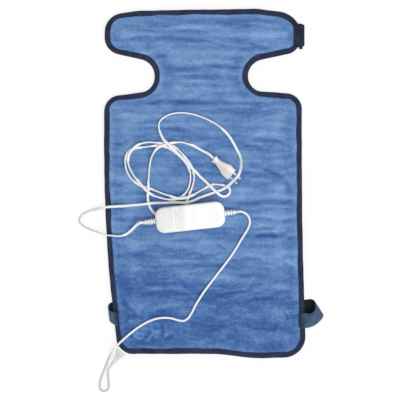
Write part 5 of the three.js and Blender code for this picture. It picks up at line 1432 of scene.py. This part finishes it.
# %% Bodies drawn out station by station
def drawn_out(name, stations, flat_share, side_share):
    """Eight-sided body along +X; a station gives the distance, half width and half height."""
    piece = add(name, bpy.ops.mesh.primitive_circle_add, vertices=8, radius=1, fill_type="NGON")
    piece.data.transform(Matrix.Rotation(math.pi / 2, 4, "Y") @ Matrix.Rotation(math.pi / 8, 4, "Z"))
    long, short = math.cos(math.pi / 8), math.sin(math.pi / 8)
    pick_points(piece, lambda point: abs(point.co.z) > abs(point.co.y))
    bpy.ops.transform.resize(value=(1, flat_share / short, 1 / long), center_override=(0, 0, 0))
    end_edit()
    pick_points(piece, lambda point: abs(point.co.z) < 0.6)
    bpy.ops.transform.resize(value=(1, 1 / long, side_share / short), center_override=(0, 0, 0))
    bpy.ops.mesh.select_all(action="SELECT")
    at, wide, tall = stations[0]
    bpy.ops.transform.resize(value=(1, wide, tall), center_override=(0, 0, 0))
    bpy.ops.transform.translate(value=(at, 0, 0))
    for x, w, h in stations[1:]:
        bpy.ops.mesh.extrude_region_move(TRANSFORM_OT_translate={"value": (x - at, 0, 0)})
        bpy.ops.transform.resize(value=(1, w / wide, h / tall), center_override=(x, 0, 0))
        at, wide, tall = x, w, h
    end_edit()
    close_seams(piece, SAME_POINT)
    return piece


# %% Plug
PIN_SPACING, PIN_RADIUS, PIN_LENGTH, PIN_BARE = 18.2, 2.0, 19.0, 9.0
PIN_ROOT = PLUG_LENGTH - 7
TIP = PLUG_LENGTH + PIN_LENGTH
SLEEVE_END = TIP - PIN_BARE
flank = smooth_line(PLUG_STATIONS[2:], 1.7)
plug_stations = [*PLUG_STATIONS[:2], *(tuple(s) for s in flank)]
plug = drawn_out("plug_moulding", plug_stations, PLUG_FLAT, PLUG_SIDE)
ease_edges(plug, 0.6, 3, 28)
for side, letter in ((1, "a"), (-1, "b")):
    off_middle = Matrix.Translation((0, side * PIN_SPACING / 2, 0))
    bore = rod("bore", PIN_ROOT, PLUG_LENGTH + 4, 2.2)
    bore.data.transform(off_middle)
    carve(plug, bore)
    pin = turned(f"pin_{letter}_round", (
        (PIN_ROOT + 0.3, 0), (PIN_ROOT + 0.3, 1.2), (SLEEVE_END + 0.3, 1.2), (SLEEVE_END + 0.3, 1.85),
        (SLEEVE_END + 0.5, PIN_RADIUS), (TIP - 1.7, PIN_RADIUS), (TIP - 0.8, 1.75), (TIP - 0.2, 1.25),
        (TIP, 0.7), (TIP, 0)))
    sleeve = turned(f"pin_{letter}_sleeve", (
        (PIN_ROOT + 0.3, 1.5), (PIN_ROOT + 0.3, 1.9), (SLEEVE_END - 0.2, 1.9), (SLEEVE_END, 1.75),
        (SLEEVE_END, 1.5), (PIN_ROOT + 0.3, 1.5)))
    for piece, stands_for in ((pin, f"pin_{letter}"), (sleeve, f"pin_sleeve_{letter}")):
        set_down(piece, plug_place @ off_middle, 40, "control_lead", stands_for)
set_down(plug, plug_place, 50, "control_lead", "plug_body", plug_finish)
print("plug", len(plug.data.polygons), "faces")

# %% Connector
connector_stations = [(0.6, 9.6, 1.9), (1.2, 10, 2.5), (5.6, 9.3, 2.5)]
for rib in (7, 10, 13, 16):
    half = 10.3 - 0.32 * rib + 0.3 * (rib < 10)
    connector_stations += [(rib - 0.9, half - 0.4, 1.8), (rib - 0.7, half - 0.1, 2.9),
                           (rib + 0.7, half - 0.4, 2.9), (rib + 0.9, half - 0.9, 1.8)]
connector_stations += [(19, 4.9, 2.6), (CONNECTOR_LENGTH - 1, 3.6, 2.8), (CONNECTOR_LENGTH, 3.2, 2.4)]
connector = drawn_out("connector_grip", connector_stations, 0.9, 0.5)
nose = turned("nose", ((22, 0), (22, 2.6), (CONNECTOR_LENGTH, 3.1), (32.6, 2.75), (33.1, 2.4), (33.1, 0)))
tongue = rounded_block("tongue", 11.6, 14.2, -1.3, 1.3, 0.6)
shift(tongue, -4.9)
carve(connector, nose, "UNION")
carve(connector, tongue, "UNION")
for side in (1, -1):
    slit = rounded_block("slit", 9.8, 2.8, -0.7, 0.7, 0.3)
    shift(slit, -6.3, 4 * side)
    carve(connector, slit)
ease_edges(connector, 0.3, 2, 30)
set_down(connector, connector_place, 40, "control_lead", "lead_connector", connector_finish)
print("connector", len(connector.data.polygons), "faces")
